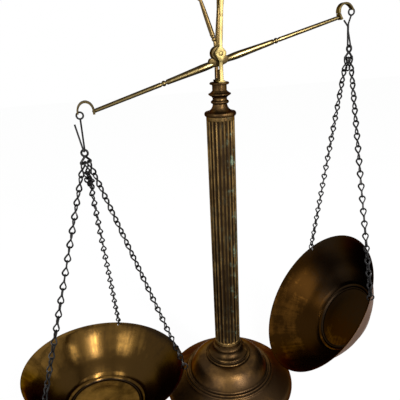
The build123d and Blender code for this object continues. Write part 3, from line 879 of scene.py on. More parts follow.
def mark_hollows(piece: Piece, level: float = 0.62, gain: float = 1.6, spread: int = 2) -> None:
    """Store how sunk each point of the surface is, from 0 in a groove to 1 on a ridge.

    Args:
        piece: mesh object to mark.
        level: the value of a flat face.
        gain: how fast the value falls as the surface curves in.
        spread: how many times the values are averaged with their neighbours.
    """
    mesh = piece.data
    near: list[list[int]] = [[] for _ in mesh.vertices]
    for edge in mesh.edges:
        a, b = edge.vertices
        near[a].append(b)
        near[b].append(a)
    values = []
    for vertex, others in zip(mesh.vertices, near):
        ways = [mesh.vertices[k].co - vertex.co for k in others]
        lean = sum(vertex.normal.dot(way.normalized()) for way in ways)
        values.append(level - gain * lean / max(1, len(others)))
    for _ in range(spread):
        values = [(v + sum(values[k] for k in n)) / (1 + len(n)) for v, n in zip(values, near)]
    mark(piece, [min(1.0, max(0.0, v)) for v in values])


def curve(name: str, points: list[Vector], closed: bool = False, narrowing: float = 1.0,
          **values: object) -> Piece:
    """Smooth curve through points in millimetres, as a mesh in metres.

    Args:
        name: the piece's name.
        points: the points that it runs through.
        closed: whether the ends meet.
        narrowing: share of its section that is left at the end.
        values: the curve's settings.

    Returns:
        The piece.
    """
    data = bpy.data.curves.new(name, "CURVE")
    data.dimensions = "3D"
    data.use_fill_caps = not closed
    adjust(data, values)
    spline = data.splines.new("BEZIER")
    spline.bezier_points.add(len(points) - 1)
    for k, (knot, point) in enumerate(zip(spline.bezier_points, points)):
        knot.co = point * MM
        knot.handle_left_type = knot.handle_right_type = "AUTO"
        knot.radius = 1 + (narrowing - 1) * k / (len(points) - 1)
    spline.use_cyclic_u = closed
    pick(linked(name, data))
    bpy.ops.object.convert(target="MESH")
    return bpy.context.object


def ribbon(name: str, points: list[Vector], width: float, thickness: float, narrowing: float) -> Piece:
    """Flat strip with rounded edges, bent along points in the XZ plane, in millimetres.

    Args:
        name: the piece's name.
        points: the strip's middle line.
        width: width across, along Y.
        thickness: thickness of the strip at its start.
        narrowing: share of width and thickness that is left at the end.

    Returns:
        The strip as a mesh in metres.
    """
    edge = bpy.data.curves.new(f"{name}_section", "CURVE")
    edge.dimensions = "2D"
    outline = edge.splines.new("POLY")
    half_w, half_t, cut = width / 2, thickness / 2, thickness * 0.3
    corners = [(half_w, half_t - cut), (half_w - cut, half_t),
               (cut - half_w, half_t), (-half_w, half_t - cut)]
    corners += [(-x, -y) for x, y in corners]
    outline.points.add(len(corners) - 1)
    for point, (x, y) in zip(outline.points, corners):
        point.co = (x * MM, y * MM, 0, 1)
    outline.use_cyclic_u = True
    section = linked(f"{name}_section", edge)
    strip = curve(name, points, narrowing=narrowing, twist_mode="Z_UP", bevel_mode="OBJECT",
                  bevel_object=section, resolution_u=8)
    bpy.data.objects.remove(section)
    return strip


def merged_copy(node: str, ending: str, flatten: bool = False) -> Piece:
    """Copy of a CAD node with its points merged.

    Args:
        node: name of the CAD node.
        ending: what is added to the node's name.
        flatten: whether each flat side becomes one face.

    Returns:
        The copy.
    """
    source = FRAME["nodes"][node]
    piece = linked(f"{node}_{ending}", source.data.copy())
    piece.matrix_world = source.matrix_world.copy()
    with edit(applied(piece)):
        weld()
        if flatten:
            bpy.ops.mesh.dissolve_limited(angle_limit=math.radians(2.0))
    return piece


def worn_copy(node: str, edge: float) -> Piece:
    """Copy of a CAD node with its edges rounded by wear.

    Args:
        node: name of the CAD node.
        edge: width of the rounding in millimetres.

    Returns:
        The copy, as one merged mesh.
    """
    return smooth(bevelled(merged_copy(node, "worn", flatten=True), edge, 2, 32.0), 40.0)


def thick_copy(node: str, extra: float) -> Piece:
    """Copy of a CAD node of wire, a little thicker all round for its coat of black.

    Args:
        node: name of the CAD node.
        extra: thickness of the coat in millimetres.

    Returns:
        The copy, as one merged mesh.
    """
    piece = merged_copy(node, "blackened")
    ways = [vertex.normal.copy() for vertex in piece.data.vertices]
    for vertex, way in zip(piece.data.vertices, ways):
        vertex.co += way * extra * MM
    return piece


def frame_at(origin: Vector, x_dir: Vector, z_dir: Vector) -> Matrix:
    """Matrix of a frame in the scene's metres.

    Args:
        origin: where it stands, in millimetres.
        x_dir: about where its X points.
        z_dir: where its Z points.

    Returns:
        The matrix.
    """
    z = z_dir.normalized()
    x = (x_dir - z * x_dir.dot(z)).normalized()
    y = z.cross(x)
    return Matrix(((x.x, y.x, z.x, origin.x * MM), (x.y, y.y, z.y, origin.y * MM),
                   (x.z, y.z, z.z, origin.z * MM), (0, 0, 0, 1)))


# ---- stand ----
@dataclass
class Stand:
    """Base, foot, fluted column, turned neck and fork."""

    finishes: Finishes
    foot_z: float = 46.0
    shaft_low: float = 65.0
    shaft_high: float = 329.0
    neck_z: float = 340.5
    table_z: float = 358.6
    r_low: float = 14.4
    r_high: float = 13.9
    flutes: int = 20
    per_flute: int = 10
    flute_depth: float = 1.15
    flute_share: float = 0.42
    plain_end: float = 3.4
    run_out: float = 1.85
    end_steps: tuple[float, ...] = (0.0, 0.3, 0.7, 1.2, 1.7)
    lengths: int = 8
    ridge_open: float = 0.9
    flute_shut: float = 0.75
    shut_curve: float = 1.5
    # Painted shade: the rear blade is marked dark below this height.
    bent_in_z: float = PIVOT.z - 3.0
    bent_in_open: float = 0.2

    def build(self) -> None:
        """Make and dress the stand."""
        self.base()
        self.foot()
        self.shaft()
        self.cap()
        self.neck()
        self.table()
        self.fork()
        for node, finish in (("base_weight", Finishes.IRON), ("base_felt", Finishes.FELT),
                             ("tie_rod", Finishes.STEEL), ("rod_washer", Finishes.STEEL),
                             ("rod_nut", Finishes.STEEL)):
            self.finishes.dress(smooth(FRAME["nodes"][node], 30.0), finish)

    def keep(self, piece: Piece, finish: BrassFinish, *nodes: str) -> None:
        """Mark a stand piece's hollows where its finish reads them, darker as tarnish and painted shade, and
        keep it.

        Args:
            piece: the finished piece.
            finish: its finish.
            nodes: the CAD nodes that it stands for.
        """
        if finish.hollows and "Hollow" not in piece.data.attributes:
            mark_hollows(piece)
        self.finishes.keep(piece, finish, "stand", *nodes)

    def base(self) -> None:
        """Cast base: rounded edge, sloping flange, two fine ridge beads and a bulbous dome."""
        profile = trace(
            (66.0, 1.3), (73.9, 1.3), ((74.2, 1.5), (75.7, 7.4), (73.3, 12.6), 10),
            ((72.9, 13.0), (62.0, 18.4), (52.6, 23.0), 10), ((52.3, 23.4), (52.6, 24.9), (51.4, 25.7), 5),
            ((51.0, 25.4), (50.6, 25.1), (50.2, 25.6), 3), ((50.1, 25.8), (49.9, 27.4), (48.4, 27.5), 5),
            ((47.9, 27.0), (46.2, 27.1), (45.4, 28.4), 4), ((45.3, 28.9), (43.4, 33.6), (39.2, 40.2), 8),
            ((38.6, 40.8), (33.2, 44.6), (26.5, 46.0), 7), (10.0, 46.0), (10.0, 43.2), (26.0, 43.0),
            (36.0, 40.0), (40.0, 30.0), (67.0, 10.0), (66.0, 1.3))
        self.keep(smooth(lathe("base_dome", profile, 128)), Finishes.BASE, "base_shell")

    def foot(self) -> None:
        """Foot between base and shaft: two fillets, a deep hollow and a half-round."""
        high = self.shaft_low - self.foot_z
        profile = trace(
            (10.0, 0.0), (25.4, 0.0), ((25.6, 0.3), (26.2, 1.5), (25.2, 2.5), 6),
            ((24.6, 2.6), (23.2, 2.4), (22.3, 3.0), 4), ((22.3, 3.2), (22.9, 4.4), (21.7, 5.5), 6),
            ((21.2, 5.7), (17.0, 7.4), (15.7, 10.8), 8), ((15.9, 11.0), (17.6, 13.4), (15.7, 16.1), 8),
            (15.3, 16.4), (15.2, high), (10.0, high), (10.0, 0.0), base=self.foot_z)
        self.keep(smooth(lathe("column_foot_turned", profile)), Finishes.NECK, "column_foot")

    def shaft(self) -> None:
        """Fluted tube: a many-sided cylinder whose flutes are pressed in between two end bands."""
        low, high = self.shaft_low, self.shaft_high
        tube = primitive(bpy.ops.mesh.primitive_cylinder_add, vertices=self.flutes * self.per_flute,
                         radius=self.r_low * MM, depth=(high - low) * MM,
                         location=(0, 0, (low + high) / 2 * MM), end_fill_type="NOTHING")
        piece = named(tube, "column_fluted")
        ends = [self.plain_end + step for step in self.end_steps]
        cuts = [low + end for end in ends] + [high - end for end in ends]
        cuts += [low + (high - low) * k / self.lengths for k in range(1, self.lengths)]
        with edit(piece):
            for z in cuts:
                bpy.ops.mesh.select_all(action="SELECT")
                bpy.ops.mesh.bisect(plane_co=(0, 0, z * MM), plane_no=(0, 0, 1))
        sunk = [self._press(vertex) for vertex in applied(piece).data.vertices]
        # Flutes darker, as tarnish and painted shade.
        mark(piece, [self.ridge_open - self.flute_shut * depth ** self.shut_curve for depth in sunk])
        self.keep(smooth(piece, 40.0), Finishes.COLUMN, "column_shaft")

    def _press(self, vertex: bpy.types.MeshVertex) -> float:
        """Move a point of the shaft to the taper's line or into a flute.

        Args:
            vertex: the point.

        Returns:
            How deep it lies, as a share of the flute's depth.
        """
        x, y, z = (c / MM for c in vertex.co)
        share = (z - self.shaft_low) / (self.shaft_high - self.shaft_low)
        radius = self.r_low + (self.r_high - self.r_low) * share
        phase = (math.atan2(y, x) / math.tau * self.flutes) % 1.0 - 0.5
        half_round = math.sqrt(max(0.0, 1.0 - (phase / self.flute_share) ** 2))
        inset = min(z - self.shaft_low, self.shaft_high - z) - self.plain_end
        reach = math.sqrt(max(0.0, 1.0 - (1.0 - min(1.0, max(0.0, inset / self.run_out))) ** 2))
        radius -= self.flute_depth * half_round * reach
        flat = math.hypot(x, y)
        vertex.co = Vector((x * radius / flat, y * radius / flat, z)) * MM
        return half_round * reach

    def cap(self) -> None:
        """Cap of the shaft: a flange with a hollow sweep above it."""
        profile = trace((10.0, 0.0), (14.4, 0.0), ((14.7, 0.1), (15.6, 2.1), (14.7, 4.0), 8),
                        ((13.9, 4.2), (9.4, 6.2), (7.0, 11.4), 10), (5.0, 11.4), (5.0, 0.0), (10.0, 0.0),
                        base=self.shaft_high)
        self.keep(smooth(lathe("cap_turned", profile, 72)), Finishes.NECK, "column_cap")

    def neck(self) -> None:
        """Turned neck: a bead, a waist, a sharp flange and a sweep to the plain top."""
        profile = trace(
            (5.0, 0.0), (7.0, 0.0), ((7.5, 0.3), (8.8, 1.8), (7.6, 3.3), 8),
            ((7.3, 3.6), (6.9, 5.0), (7.7, 6.6), 6), ((8.1, 7.0), (9.4, 7.8), (10.8, 8.7), 4),
            (10.95, 9.2), (10.8, 9.7), ((10.4, 10.0), (8.6, 11.0), (7.4, 12.2), 5),
            (7.0, 12.6), (7.0, 18.0), (5.0, 18.0), (5.0, 0.0), base=self.neck_z)
        self.keep(smooth(lathe("neck_turned", profile, 72)), Finishes.NECK, "column_finial")

    def table(self) -> None:
        """Round table under the fork, with a stud between the blades' feet."""
        profile = trace(
            (0.0, 0.0), (8.6, 0.0), ((8.8, 0.1), (9.4, 1.1), (8.8, 2.1), 6), (8.6, 2.2), (2.0, 2.2),
            (1.7, 2.6), (1.7, 12.8), (1.1, 13.5), (0.0, 13.6), base=self.table_z)
        self.keep(smooth(lathe("fork_table", profile, 64)), Finishes.NECK, "head_flange")

    def fork(self) -> None:
        """Blades, screws and crown with worn edges, each half of the fork in its own finish; the rear blade
        darker below the pivot, as painted shade.
        """
        for node, finish, edge in (("fork_front_blade", Finishes.PALE, 0.22),
                                   ("fork_rear_blade", Finishes.REAR_BLADE, 0.22),
                                   ("fork_front_screw", Finishes.PALE, 0.15),
                                   ("fork_rear_screw", Finishes.OLIVE, 0.15),
                                   ("fork_crown", Finishes.OLIVE, 0.2)):
            piece = worn_copy(node, edge)
            # Painted shade on the rear blade below the pivot.
            if finish.hollows:
                heights = [vertex.co.z / MM for vertex in piece.data.vertices]
                mark(piece, [1.0 if z > self.bent_in_z else self.bent_in_open for z in heights])
            self.keep(piece, finish, node)


# ---- beam ----
@dataclass
class Beam:
    """The tilting beam: hub, arms with beads and hooks, and the pointer."""

    finishes: Finishes
    bead_u: float = 57.5
    arm_start: float = 11.0
    arm_end: float = 125.5
    arm_w: float = -7.3
    arm_end_w: float = -8.6
    eye_u: float = 139.3
    eye_w: float = -7.8
    # Painted sheen on the arms: a bright line on the side that faces the front is a painted highlight, and
    # the low level elsewhere is painted shade; the hook gets one even level.
    rub_low: float = -0.05
    rub_all: float = 0.14
    rub_front: float = 0.2
    rub_line: float = 0.5
    rub_sharp: int = 60
    hook_rub: float = 0.46
    hook_w: float = 7.6
    hook_t: float = 2.1
    hook_tip: float = 0.78
    boss_at: Triple = (-0.8, 0.0, 0.3)
    boss_r: float = 6.6
    boss_depth: float = 8.8
    boss_edge: float = 0.9
    plate_half_t: float = 3.1
    plate_edge: float = 0.8
    spade_half_t: float = 0.7
    spade_edge: float = 0.25
    pointer_lean: float = math.radians(-2.5)
    pointer_aside: float = 0.4

    def build(self) -> None:
        """Make and dress the beam."""
        for side in Side:
            self.arm(side)
        self.hub()
        self.pointer()
        for node, finish, edge in (("pointer_knuckle", Finishes.GOLDEN, 0.1),
                                   ("pivot_pin", Finishes.PALE, 0.3)):
            self.keep(worn_copy(node, edge), finish, node)

    def tilted(self) -> Matrix:
        """Matrix from the level beam, pivot as origin, to its place at rest."""
        return Matrix.Translation(PIVOT * MM) @ Matrix.Rotation(-BEAM_TILT, 4, "Y")

    def keep(self, piece: Piece, finish: BrassFinish, *nodes: str) -> None:
        """Keep a beam piece."""
        self.finishes.keep(piece, finish, "beam", *nodes)

    def along(self, side: Side) -> Matrix:
        """Frame of an arm's middle line: origin at the pivot's height on that line, Z outwards.

        Args:
            side: the end of the beam.

        Returns:
            The frame as a matrix.
        """
        rise = (self.arm_end_w - self.arm_w) / (self.arm_end - self.arm_start)
        start = Vector((0, 0, self.arm_w - rise * self.arm_start))
        return self.tilted() @ frame_at(start, Vector((0, 1, 0)), Vector((side.value, 0, rise)))

    def turned(self, name: str, profile: Profile, side: Side) -> Piece:
        """Turn a piece on an arm's middle line, and mark its painted sheen: a painted highlight along the
        front, painted shade elsewhere.

        Args:
            name: the piece's name.
            profile: (radius, distance out from the pivot) points.
            side: the end of the beam.

        Returns:
            The piece in its place.
        """
        piece = smooth(lathe(name, profile, 64))
        # Painted highlight along the front-facing side and painted shade behind it, stored as the mark.
        sheen = []
        for vertex in piece.data.vertices:
            x, y, _ = vertex.co
            front = max(0.0, -(x + self.rub_low * side.value * y) / max(math.hypot(x, y), 0.01 * MM))
            sheen.append(self.rub_all + self.rub_front * front + self.rub_line * front ** self.rub_sharp)
        mark(piece, sheen)
        return settle(piece, self.along(side))

    def hub(self) -> None:
        """Round boss on the pin, and below it the forged plate that the arms grow out of."""
        disc = primitive(bpy.ops.mesh.primitive_cylinder_add, vertices=56, radius=self.boss_r * MM,
                         depth=self.boss_depth * MM, rotation=(math.pi / 2, 0, 0),
                         location=[c * MM for c in self.boss_at])
        boss = bevelled(applied(disc), self.boss_edge, 3, 40.0)
        outline = trace(((-9.5, -8.6), (-11.6, -5.2), (-9.0, -1.7), 6), (-6.4, -2.2), (-4.4, -3.2),
                        ((5.6, -3.1), (7.4, -6.4), (4.2, -10.4), 6), (0.0, -11.0), (-5.0, -10.8))
        body = plate("beam_plate", outline, self.plate_half_t, self.plate_edge)
        piece = smooth(join("beam_boss", [boss, body]), 40.0)
        self.keep(settle(piece, self.tilted()), Finishes.OLIVE, "beam_hub")

    def pointer(self) -> None:
        """Turned rod with a collar at its foot, that flattens to a spade between the blades."""
        rod = trace((0.0, 16.6), (1.9, 16.6), (2.35, 16.9), (2.4, 18.0), (2.15, 18.5),
                    ((2.2, 19.0), (2.05, 34.0), (1.6, 46.0), 6), (1.2, 48.4), (0.0, 49.0))
        blade = trace((-0.9, 45.5), (0.9, 45.5), (1.2, 47.0), ((2.4, 49.0), (3.2, 50.9), (2.6, 53.3), 5),
                      (0.5, 61.0), (-0.5, 61.0), ((-2.6, 53.3), (-3.2, 50.9), (-2.4, 49.0), 5), (-1.2, 47.0))
        pieces = [smooth(lathe("pointer_rod", rod, 28)),
                  plate("pointer_blade", blade, self.spade_half_t, self.spade_edge)]
        aside = Matrix.Translation((self.pointer_aside * MM, 0, 0))
        place = self.tilted() @ Matrix.Rotation(self.pointer_lean, 4, "Y") @ aside
        self.keep(settle(join("pointer_spade", pieces), place), Finishes.GOLDEN, "pointer")

    def arm(self, side: Side) -> None:
        """One arm: swelling inner half, bead between two grooves, slim outer half, strip hook.

        Args:
            side: the end of the beam.
        """
        u, word = self.bead_u, side.word
        inner = trace((0.0, 3.5), (2.6, 3.5), ((2.7, 4.5), (3.4, 14.0), (3.25, 24.0), 6),
                      ((3.2, 26.0), (2.72, 42.0), (2.42, u - 3.4), 8),
                      (2.2, u - 2.8), (1.7, u - 2.65), (0.0, u - 2.6))
        self.keep(self.turned(f"{word}_arm_inner", inner, side), Finishes.ARM, f"{word}_inner_arm")
        bead = trace((0.0, -2.5), (1.6, -2.5), (1.6, -1.7), ((2.0, -1.55), (2.6, 0.0), (2.0, 1.55), 8),
                     (1.6, 1.7), (1.6, 2.5), (0.0, 2.5), base=u)
        self.keep(self.turned(f"{word}_bead", bead, side), Finishes.ARM, f"{word}_arm_bead")
        outer = trace((0.0, u + 2.6), (1.6, u + 2.65), (2.05, u + 2.9),
                      ((2.12, u + 3.6), (2.0, 92.0), (1.8, 123.0), 8),
                      (1.8, 125.2), (1.2, 127.2), (0.0, 127.9))
        pieces = [self.turned(f"{word}_bar", outer, side), self.hook(side)]
        self.keep(smooth(join(f"{word}_arm_outer", pieces)), Finishes.ARM, f"{word}_outer_arm")

    def hook(self, side: Side) -> Piece:
        """Flattened end of an arm, curled out and down from a sharp heel and thinning to its tip.

        Args:
            side: the end of the beam.

        Returns:
            The hook in its place.
        """
        line = [(126.9, -11.0), (125.9, -7.2), (126.2, -2.4), (128.6, 1.0), (131.9, 2.2), (135.4, 1.4),
                (138.4, -1.3), (self.eye_u + 1.2, self.eye_w + 1.8)]
        points = [Vector((x, 0, z)) for x, z in line]
        strip = ribbon(f"{side.word}_strip", points, self.hook_w, self.hook_t, self.hook_tip)
        if side is Side.LEFT:
            with edit(strip):
                bpy.ops.transform.mirror(constraint_axis=(True, False, False), center_override=(0, 0, 0))
                weld()
        # One even level of the arms' painted-sheen mark for the hook.
        mark(strip, [self.hook_rub] * len(strip.data.vertices))
        return settle(strip, self.tilted())


# ---- pans and chains ----
@dataclass
class Suspension:
    """Jack chains, rim rings and the wire that carries them, laid between a pan and its bar."""

    finishes: Finishes
    side: Side
    pan: "Pan"
    bar_turn: float
    bar_step: float
    places: tuple[int, ...]
    names: tuple[str, ...]
    bar_drop: float = 9.6
    pitch: float = 12.95
    wire_r: float = 0.7
    link_t: float = 1.1
    link_r: float = 0.88
    gap: float = 0.1
    slack: float = 0.16
    ring_r: float = 3.5
    ring_wire_r: float = 0.68
    ring_lean: float = 0.35
    ring_turn: float = 2.5
    end_drop: float = 1.65
    hanger_coat: float = 0.12
    bar_coat: float = 0.35

    # Slack links of the knot: millimetres down and across, turn in degrees, and lean.
    KNOT = ((14.0, 0.9, 35, 0.4), (18.0, -1.2, 100, -0.5), (21.5, 1.1, 150, 0.8), (24.5, -1.0, 65, -1.5))

    @property
    def body(self) -> str:
        """Body that the chains move with."""
        return "left_pan" if self.side is Side.LEFT else "right_chains"

    @property
    def lead(self) -> float:
        """How far the top of a link stands above the middle of the bar that it hangs on."""
        return self.link_t / 2 + self.wire_r + self.gap

    def build(self) -> None:
        """Make and dress the chains, the rings and the wires."""
        for index, name in enumerate(self.names):
            self.chain(index, name)
        self.rings()
        word = self.side.word
        for node, coat, body in ((f"{word}_hanger", self.hanger_coat, f"{word}_hanger"),
                                 (f"{word}_lower_link", self.bar_coat, self.body)):
            self.keep(thick_copy(node, coat), body, node)
        if self.side is Side.RIGHT:
            up = Vector((0, 0, 1))
            middle = self.low_eye() + up * (self.lead - self.bar_drop - self.pitch / 2)
            link = self.link(self.pitch, frame_at(middle, up.cross(self.bar()), up))
            self.keep(join("right_left_over_link", [link]), self.body, "right_stub_link")

    def keep(self, piece: Piece, body: str, *nodes: str) -> None:
        """Smooth and keep a piece of wire."""
        self.finishes.keep(smooth(piece, 60.0), Finishes.WIRE, body, *nodes)

    def low_eye(self) -> Vector:
        """Centre of the eye in the hanger's V, which is where the pan's swing joint stands."""
        joint = next(j for j in FRAME["joints"] if j["name"] == f"{self.side.word}_pan_swing")
        return Vector(joint["pos_m"]) / MM

    def bar(self) -> Vector:
        """Level direction of the bar that carries the chains."""
        turn = math.radians(self.bar_turn)
        return Vector((math.cos(turn), math.sin(turn), 0))

    def start(self, index: int) -> Vector:
        """Wire centre on the bar under one chain."""
        aside = self.bar() * (self.places[index] * self.bar_step)
        return self.low_eye() - Vector((0, 0, self.bar_drop)) + aside

    def hole(self, index: int) -> tuple[Vector, Vector]:
        """Middle of a rim hole, and the way out of the bowl there.

        Args:
            index: the hole's number in the rim.

        Returns:
            The middle, and the way out.
        """
        x, y, z, origin = self.pan.finish.seat.axes()
        angle = math.radians(self.pan.holes[index])
        outward = x * math.cos(angle) + y * math.sin(angle)
        return origin + outward * (self.pan.rim_r - self.pan.hole_in) - z * self.pan.hole_drop, outward

    def ring(self, index: int) -> tuple[Vector, Vector, Vector]:
        """A rim ring's centre, its way up out of the hole, and its axis.

        Args:
            index: number of the ring's hole.

        Returns:
            The centre, the way up and the axis.
        """
        hole, outward = self.hole(index)
        up = self.pan.finish.seat.axes()[2]
        axis = up.cross(outward)
        if self.side is Side.RIGHT:
            axis = (axis + (self.hole(0)[0] - self.hole(1)[0]).normalized() * self.ring_turn).normalized()
        reach = up + outward * self.ring_lean
        reach = (reach - axis * reach.dot(axis)).normalized()
        return hole + reach * self.ring_r, reach, axis

    def end(self, index: int) -> Vector:
        """Wire centre of a chain's last bar, just inside the top of its rim ring.

        Args:
            index: the chain's number.

        Returns:
            The centre.
        """
        centre, _, axis = self.ring(index)
        up = self.start(index) - centre
        up = (up - axis * up.dot(axis)).normalized()
        return centre + up * (self.ring_r - self.end_drop)

    def end_bar(self, index: int) -> Vector:
        """Direction of a chain's last bar."""
        return (self.end(0) - self.end(1)).normalized() if self.side is Side.RIGHT else self.ring(index)[2]

    def link(self, length: float, place: Matrix) -> Piece:
        """One link: wire bent to two teardrop loops a quarter turn apart, crossing at the waist.

        Args:
            length: its length over all.
            place: frame of its middle: Z along it, X across its upper loop.

        Returns:
            The link in its place.
        """
        top = length / 2
        loop = [(2.55, 0.53), (2.35, 0.8), (0.0, 1.0), (-2.35, 0.8), (-2.55, 0.53)]
        knots = [Vector((x, 0, top * z)) for x, z in loop] + [Vector((-0.55, 0.45, 0))]
        knots += [Vector((0, x, -top * z)) for x, z in loop] + [Vector((0.55, -0.45, 0))]
        wire = curve("link", knots, closed=True, bevel_depth=self.link_r * MM, bevel_resolution=0,
                     resolution_u=2)
        return settle(wire, place)

    def chain(self, index: int, name: str) -> None:
        """Single jack chain from the bar to a rim ring, its quarter-turned links slowly twisting.

        Args:
            index: the chain's number.
            name: where it hangs, as its node says.
        """
        start, run = self.start(index), self.end(index) - self.start(index)
        down = run.normalized()
        overlap, lead = self.link_t + self.gap, self.lead + self.slack
        count = round((run.length + lead - overlap) / self.pitch)
        length = (run.length + lead + (count - 1) * overlap) / count
        across = down.cross(self.bar()).normalized()
        square = down.cross(across)
        last = self.end_bar(index)
        last = (last - down * last.dot(down)).normalized()
        twist = math.degrees(math.atan2(last.dot(across), last.dot(square)))
        twist = (twist + 90) % 180 - 90
        links = []
        for k in range(count):
            middle = start + down * (-lead + length / 2 + k * (length - overlap))
            turn = math.radians(-twist * k / (count - 1))
            flat = across * math.cos(turn) + square * math.sin(turn)
            links.append(self.link(length, frame_at(middle, flat, -down)))
        if (self.side, name) == (Side.LEFT, "back"):
            links += self.tangle(start, down, across)
        self.keep(join(f"{self.side.word}_{name}_links", links), self.body, f"{self.side.word}_{name}_chain")

    def tangle(self, start: Vector, down: Vector, across: Vector) -> list[Piece]:
        """Slack links caught up in a knot near the top of a chain.

        Args:
            start: wire centre on the bar, in millimetres.
            down: the way along the chain.
            across: a way square to it.

        Returns:
            The knotted links.
        """
        links = []
        for far, aside, turn, lean in self.KNOT:
            flat = Matrix.Rotation(math.radians(turn), 3, down) @ across
            place = frame_at(start + down * far + across * aside, flat, across * lean - down)
            links.append(self.link(self.pitch, place))
        return links

    def rings(self) -> None:
        """Round wire rings through the rim holes."""
        pieces = []
        for index in range(len(self.names)):
            centre, reach, axis = self.ring(index)
            ring = primitive(bpy.ops.mesh.primitive_torus_add, major_segments=28, minor_segments=8,
                             major_radius=self.ring_r * MM, minor_radius=self.ring_wire_r * MM)
            pieces.append(settle(ring, frame_at(centre, reach, axis)))
        word = self.side.word
        self.keep(join(f"{word}_rings", pieces), f"{word}_pan", f"{word}_rim_rings")


@dataclass
class Pan:
    """A spun pan with three holes in its rim."""

    finishes: Finishes
    side: Side
    finish: PanFinish
    holes: tuple[float, ...]
    rim_r: float = 87.7
    floor: float = -48.9
    sheet: float = 1.0
    hole_r: float = 1.25
    hole_at: float = 85.1
    hole_drop: float = 2.9
    hole_in: float = 0.7
    back_z: float = -0.1

    def build(self) -> None:
        """Make and dress the bowl: floor in a groove and a shoulder, flat wall, flared and worn lip."""
        f, rim, word = self.floor, self.rim_r, self.side.word
        wall = flow([(44.4, f + 3.7), (52.0, -38.2), (58.4, -32.6), (62.0, -29.0), (65.6, -24.9),
                     (72.0, -16.9), (75.1, -13.0), (77.9, -9.6), (81.6, -5.5), (85.2, -1.9),
                     (rim - 0.3, -0.6)])
        inside = trace(*((9.0 * k, 0.0) for k in range(5)), (36.9, 0.1),
                       ((37.6, 0.0), (38.7, -0.35), (39.7, 0.2), 5),
                       ((40.1, 0.9), (41.3, 2.0), (43.2, 2.5), 6), base=f)
        lip = arc((rim - 0.7, 0.1), (rim - 0.1, 0.2), (rim, -0.3), 4)
        under = trace((42.6, 1.8), (40.8, 0.2), (39.4, -0.8), (38.4, -1.0), (0.0, -1.0), base=f)
        profile = inside + beside(wall, self.sheet)[1:] + lip + wall[::-1] + under
        piece = smooth(lathe(f"{word}_bowl", profile, 128), 30.0)
        for angle in self.holes:
            self.drill(piece, math.radians(angle))
        self.finishes.dress(piece, self.finish, Finishes.PAN_BACK)
        for face in piece.data.polygons:
            if face.normal.z < self.back_z:
                face.material_index = 1
        enter(settle(piece, self.finish.seat.frame()), self.finish, f"{word}_pan", f"{word}_pan")

    def drill(self, piece: Piece, angle: float) -> None:
        """Cut one rim hole.

        Args:
            piece: the bowl, before it is placed.
            angle: where the hole is, round the rim.
        """
        place = Vector((math.cos(angle), math.sin(angle), 0)) * self.hole_at
        cutter = primitive(bpy.ops.mesh.primitive_cylinder_add, vertices=20, radius=self.hole_r * MM,
                           depth=10 * MM, location=place * MM)
        modify(piece, "BOOLEAN", operation="DIFFERENCE", object=cutter)
        bpy.data.objects.remove(cutter)


# ---- studio ----
@dataclass(frozen=True)
class Lamp:
    """A soft rectangular lamp: its place and size in metres and its power in watts."""

    name: str
    place: Triple
    width: float
    height: float
    power: float


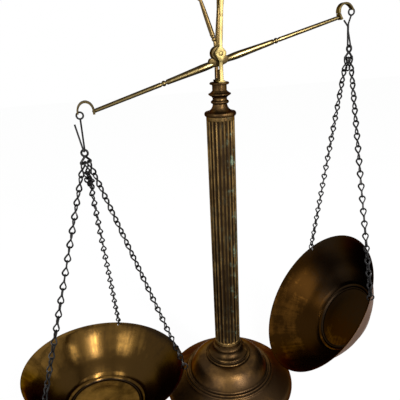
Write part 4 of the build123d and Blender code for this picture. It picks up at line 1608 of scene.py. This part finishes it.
@dataclass
class Studio:
    """White backdrop, soft lamps and the camera."""

    eye: Vector = field(default_factory=lambda: Vector((-122.42, -412.20, 401.56)))
    yaw: float = 0.23273
    pitch: float = 0.35494
    roll: float = 0.05210
    focal_px: float = 438.99
    picture_px: float = 400.0
    sensor: float = 36.0
    aim: Vector = field(default_factory=lambda: Vector((0, 0, 0.2)))
    ambient: float = 0.7
    floor_size: float = 6.0
    floor_gap: float = 0.2

    LAMPS = (Lamp("front_window", (0.315, -0.95, 0.7), 0.19, 0.97, 22.5),
             Lamp("right_window", (1.13, -0.67, 0.84), 0.2, 0.4, 1.8),
             Lamp("left_window", (-1.04, -1.0, 0.85), 0.62, 1.4, 12.5))

    def build(self) -> None:
        """Set the world, floor, lamps, camera and view transform."""
        self.camera()
        self.world()
        self.floor()
        for lamp in self.LAMPS:
            self.lamp(lamp)
        bpy.context.scene.view_settings.view_transform = "Standard"

    def camera(self) -> None:
        """Camera at the place and angle that the balance is seen from."""
        flat = math.cos(self.pitch)
        forward = Vector((math.sin(self.yaw) * flat, math.cos(self.yaw) * flat, -math.sin(self.pitch)))
        level = Vector((math.cos(self.yaw), -math.sin(self.yaw), 0))
        down = forward.cross(level)
        right = math.cos(self.roll) * level + math.sin(self.roll) * down
        under = -math.sin(self.roll) * level + math.cos(self.roll) * down
        data = bpy.data.cameras.new("camera")
        data.sensor_width = self.sensor
        data.lens = self.focal_px * self.sensor / self.picture_px
        data.clip_start = 0.01
        data.clip_end = 20.0
        camera = linked("camera", data)
        turn = Matrix((right, -under, -forward)).transposed()
        camera.matrix_world = Matrix.Translation(self.eye * MM) @ turn.to_4x4()
        bpy.context.scene.camera = camera

    def world(self) -> None:
        """White to the eye and in reflections, plain soft light on the object."""
        world = bpy.data.worlds.new("studio")
        bpy.context.scene.world = world
        world.use_nodes = True
        g = Graph(world.node_tree)
        strength = g.ramp(g.eye_rays(), 0.0, 1.0, self.ambient, 1.0)
        g.feed(g.nodes["Background"], {"Color": (1, 1, 1, 1), "Strength": strength})

    def floor(self) -> None:
        """Pale floor that runs into the white backdrop and keeps the balance's shadow."""
        floor = primitive(bpy.ops.mesh.primitive_plane_add, size=self.floor_size,
                          location=(0, 0, -self.floor_gap * MM))
        floor.name = "floor"
        floor.data.materials.append(FloorFinish("floor_white", "floor").build())

    def lamp(self, lamp: Lamp) -> None:
        """Hang one lamp, turned to the balance.

        Args:
            lamp: the lamp.
        """
        data = bpy.data.lights.new(lamp.name, "AREA")
        data.shape = "RECTANGLE"
        data.size, data.size_y, data.energy = lamp.width, lamp.height, lamp.power
        light = linked(lamp.name, data)
        light.location = lamp.place
        light.rotation_euler = (self.aim - Vector(lamp.place)).to_track_quat("-Z", "Y").to_euler()


def main() -> None:
    """Build the balance and its studio."""
    Studio().build()
    finishes = Finishes()
    Stand(finishes).build()
    Beam(finishes).build()
    left = Pan(finishes, Side.LEFT, Finishes.LEFT_PAN, (76.0, -14.0, -134.0))
    right = Pan(finishes, Side.RIGHT, Finishes.RIGHT_PAN, (60.5, -57.8, 180.0))
    left.build()
    right.build()
    Suspension(finishes, Side.LEFT, left, 36.0, 3.2, (0, 1, -1), ("back", "inner", "front")).build()
    Suspension(finishes, Side.RIGHT, right, 10.0, 2.6, (-1, 1), ("back", "front")).build()


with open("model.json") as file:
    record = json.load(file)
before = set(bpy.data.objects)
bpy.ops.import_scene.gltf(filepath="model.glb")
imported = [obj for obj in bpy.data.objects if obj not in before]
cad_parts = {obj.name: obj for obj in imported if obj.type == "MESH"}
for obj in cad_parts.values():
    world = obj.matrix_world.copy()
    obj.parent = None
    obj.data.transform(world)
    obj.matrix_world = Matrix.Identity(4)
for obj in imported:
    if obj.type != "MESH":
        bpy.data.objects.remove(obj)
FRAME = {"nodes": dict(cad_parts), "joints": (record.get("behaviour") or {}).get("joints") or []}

if __name__ == "__main__":
    logging.basicConfig(level=logging.INFO, format="%(message)s")
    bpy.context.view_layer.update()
    main()
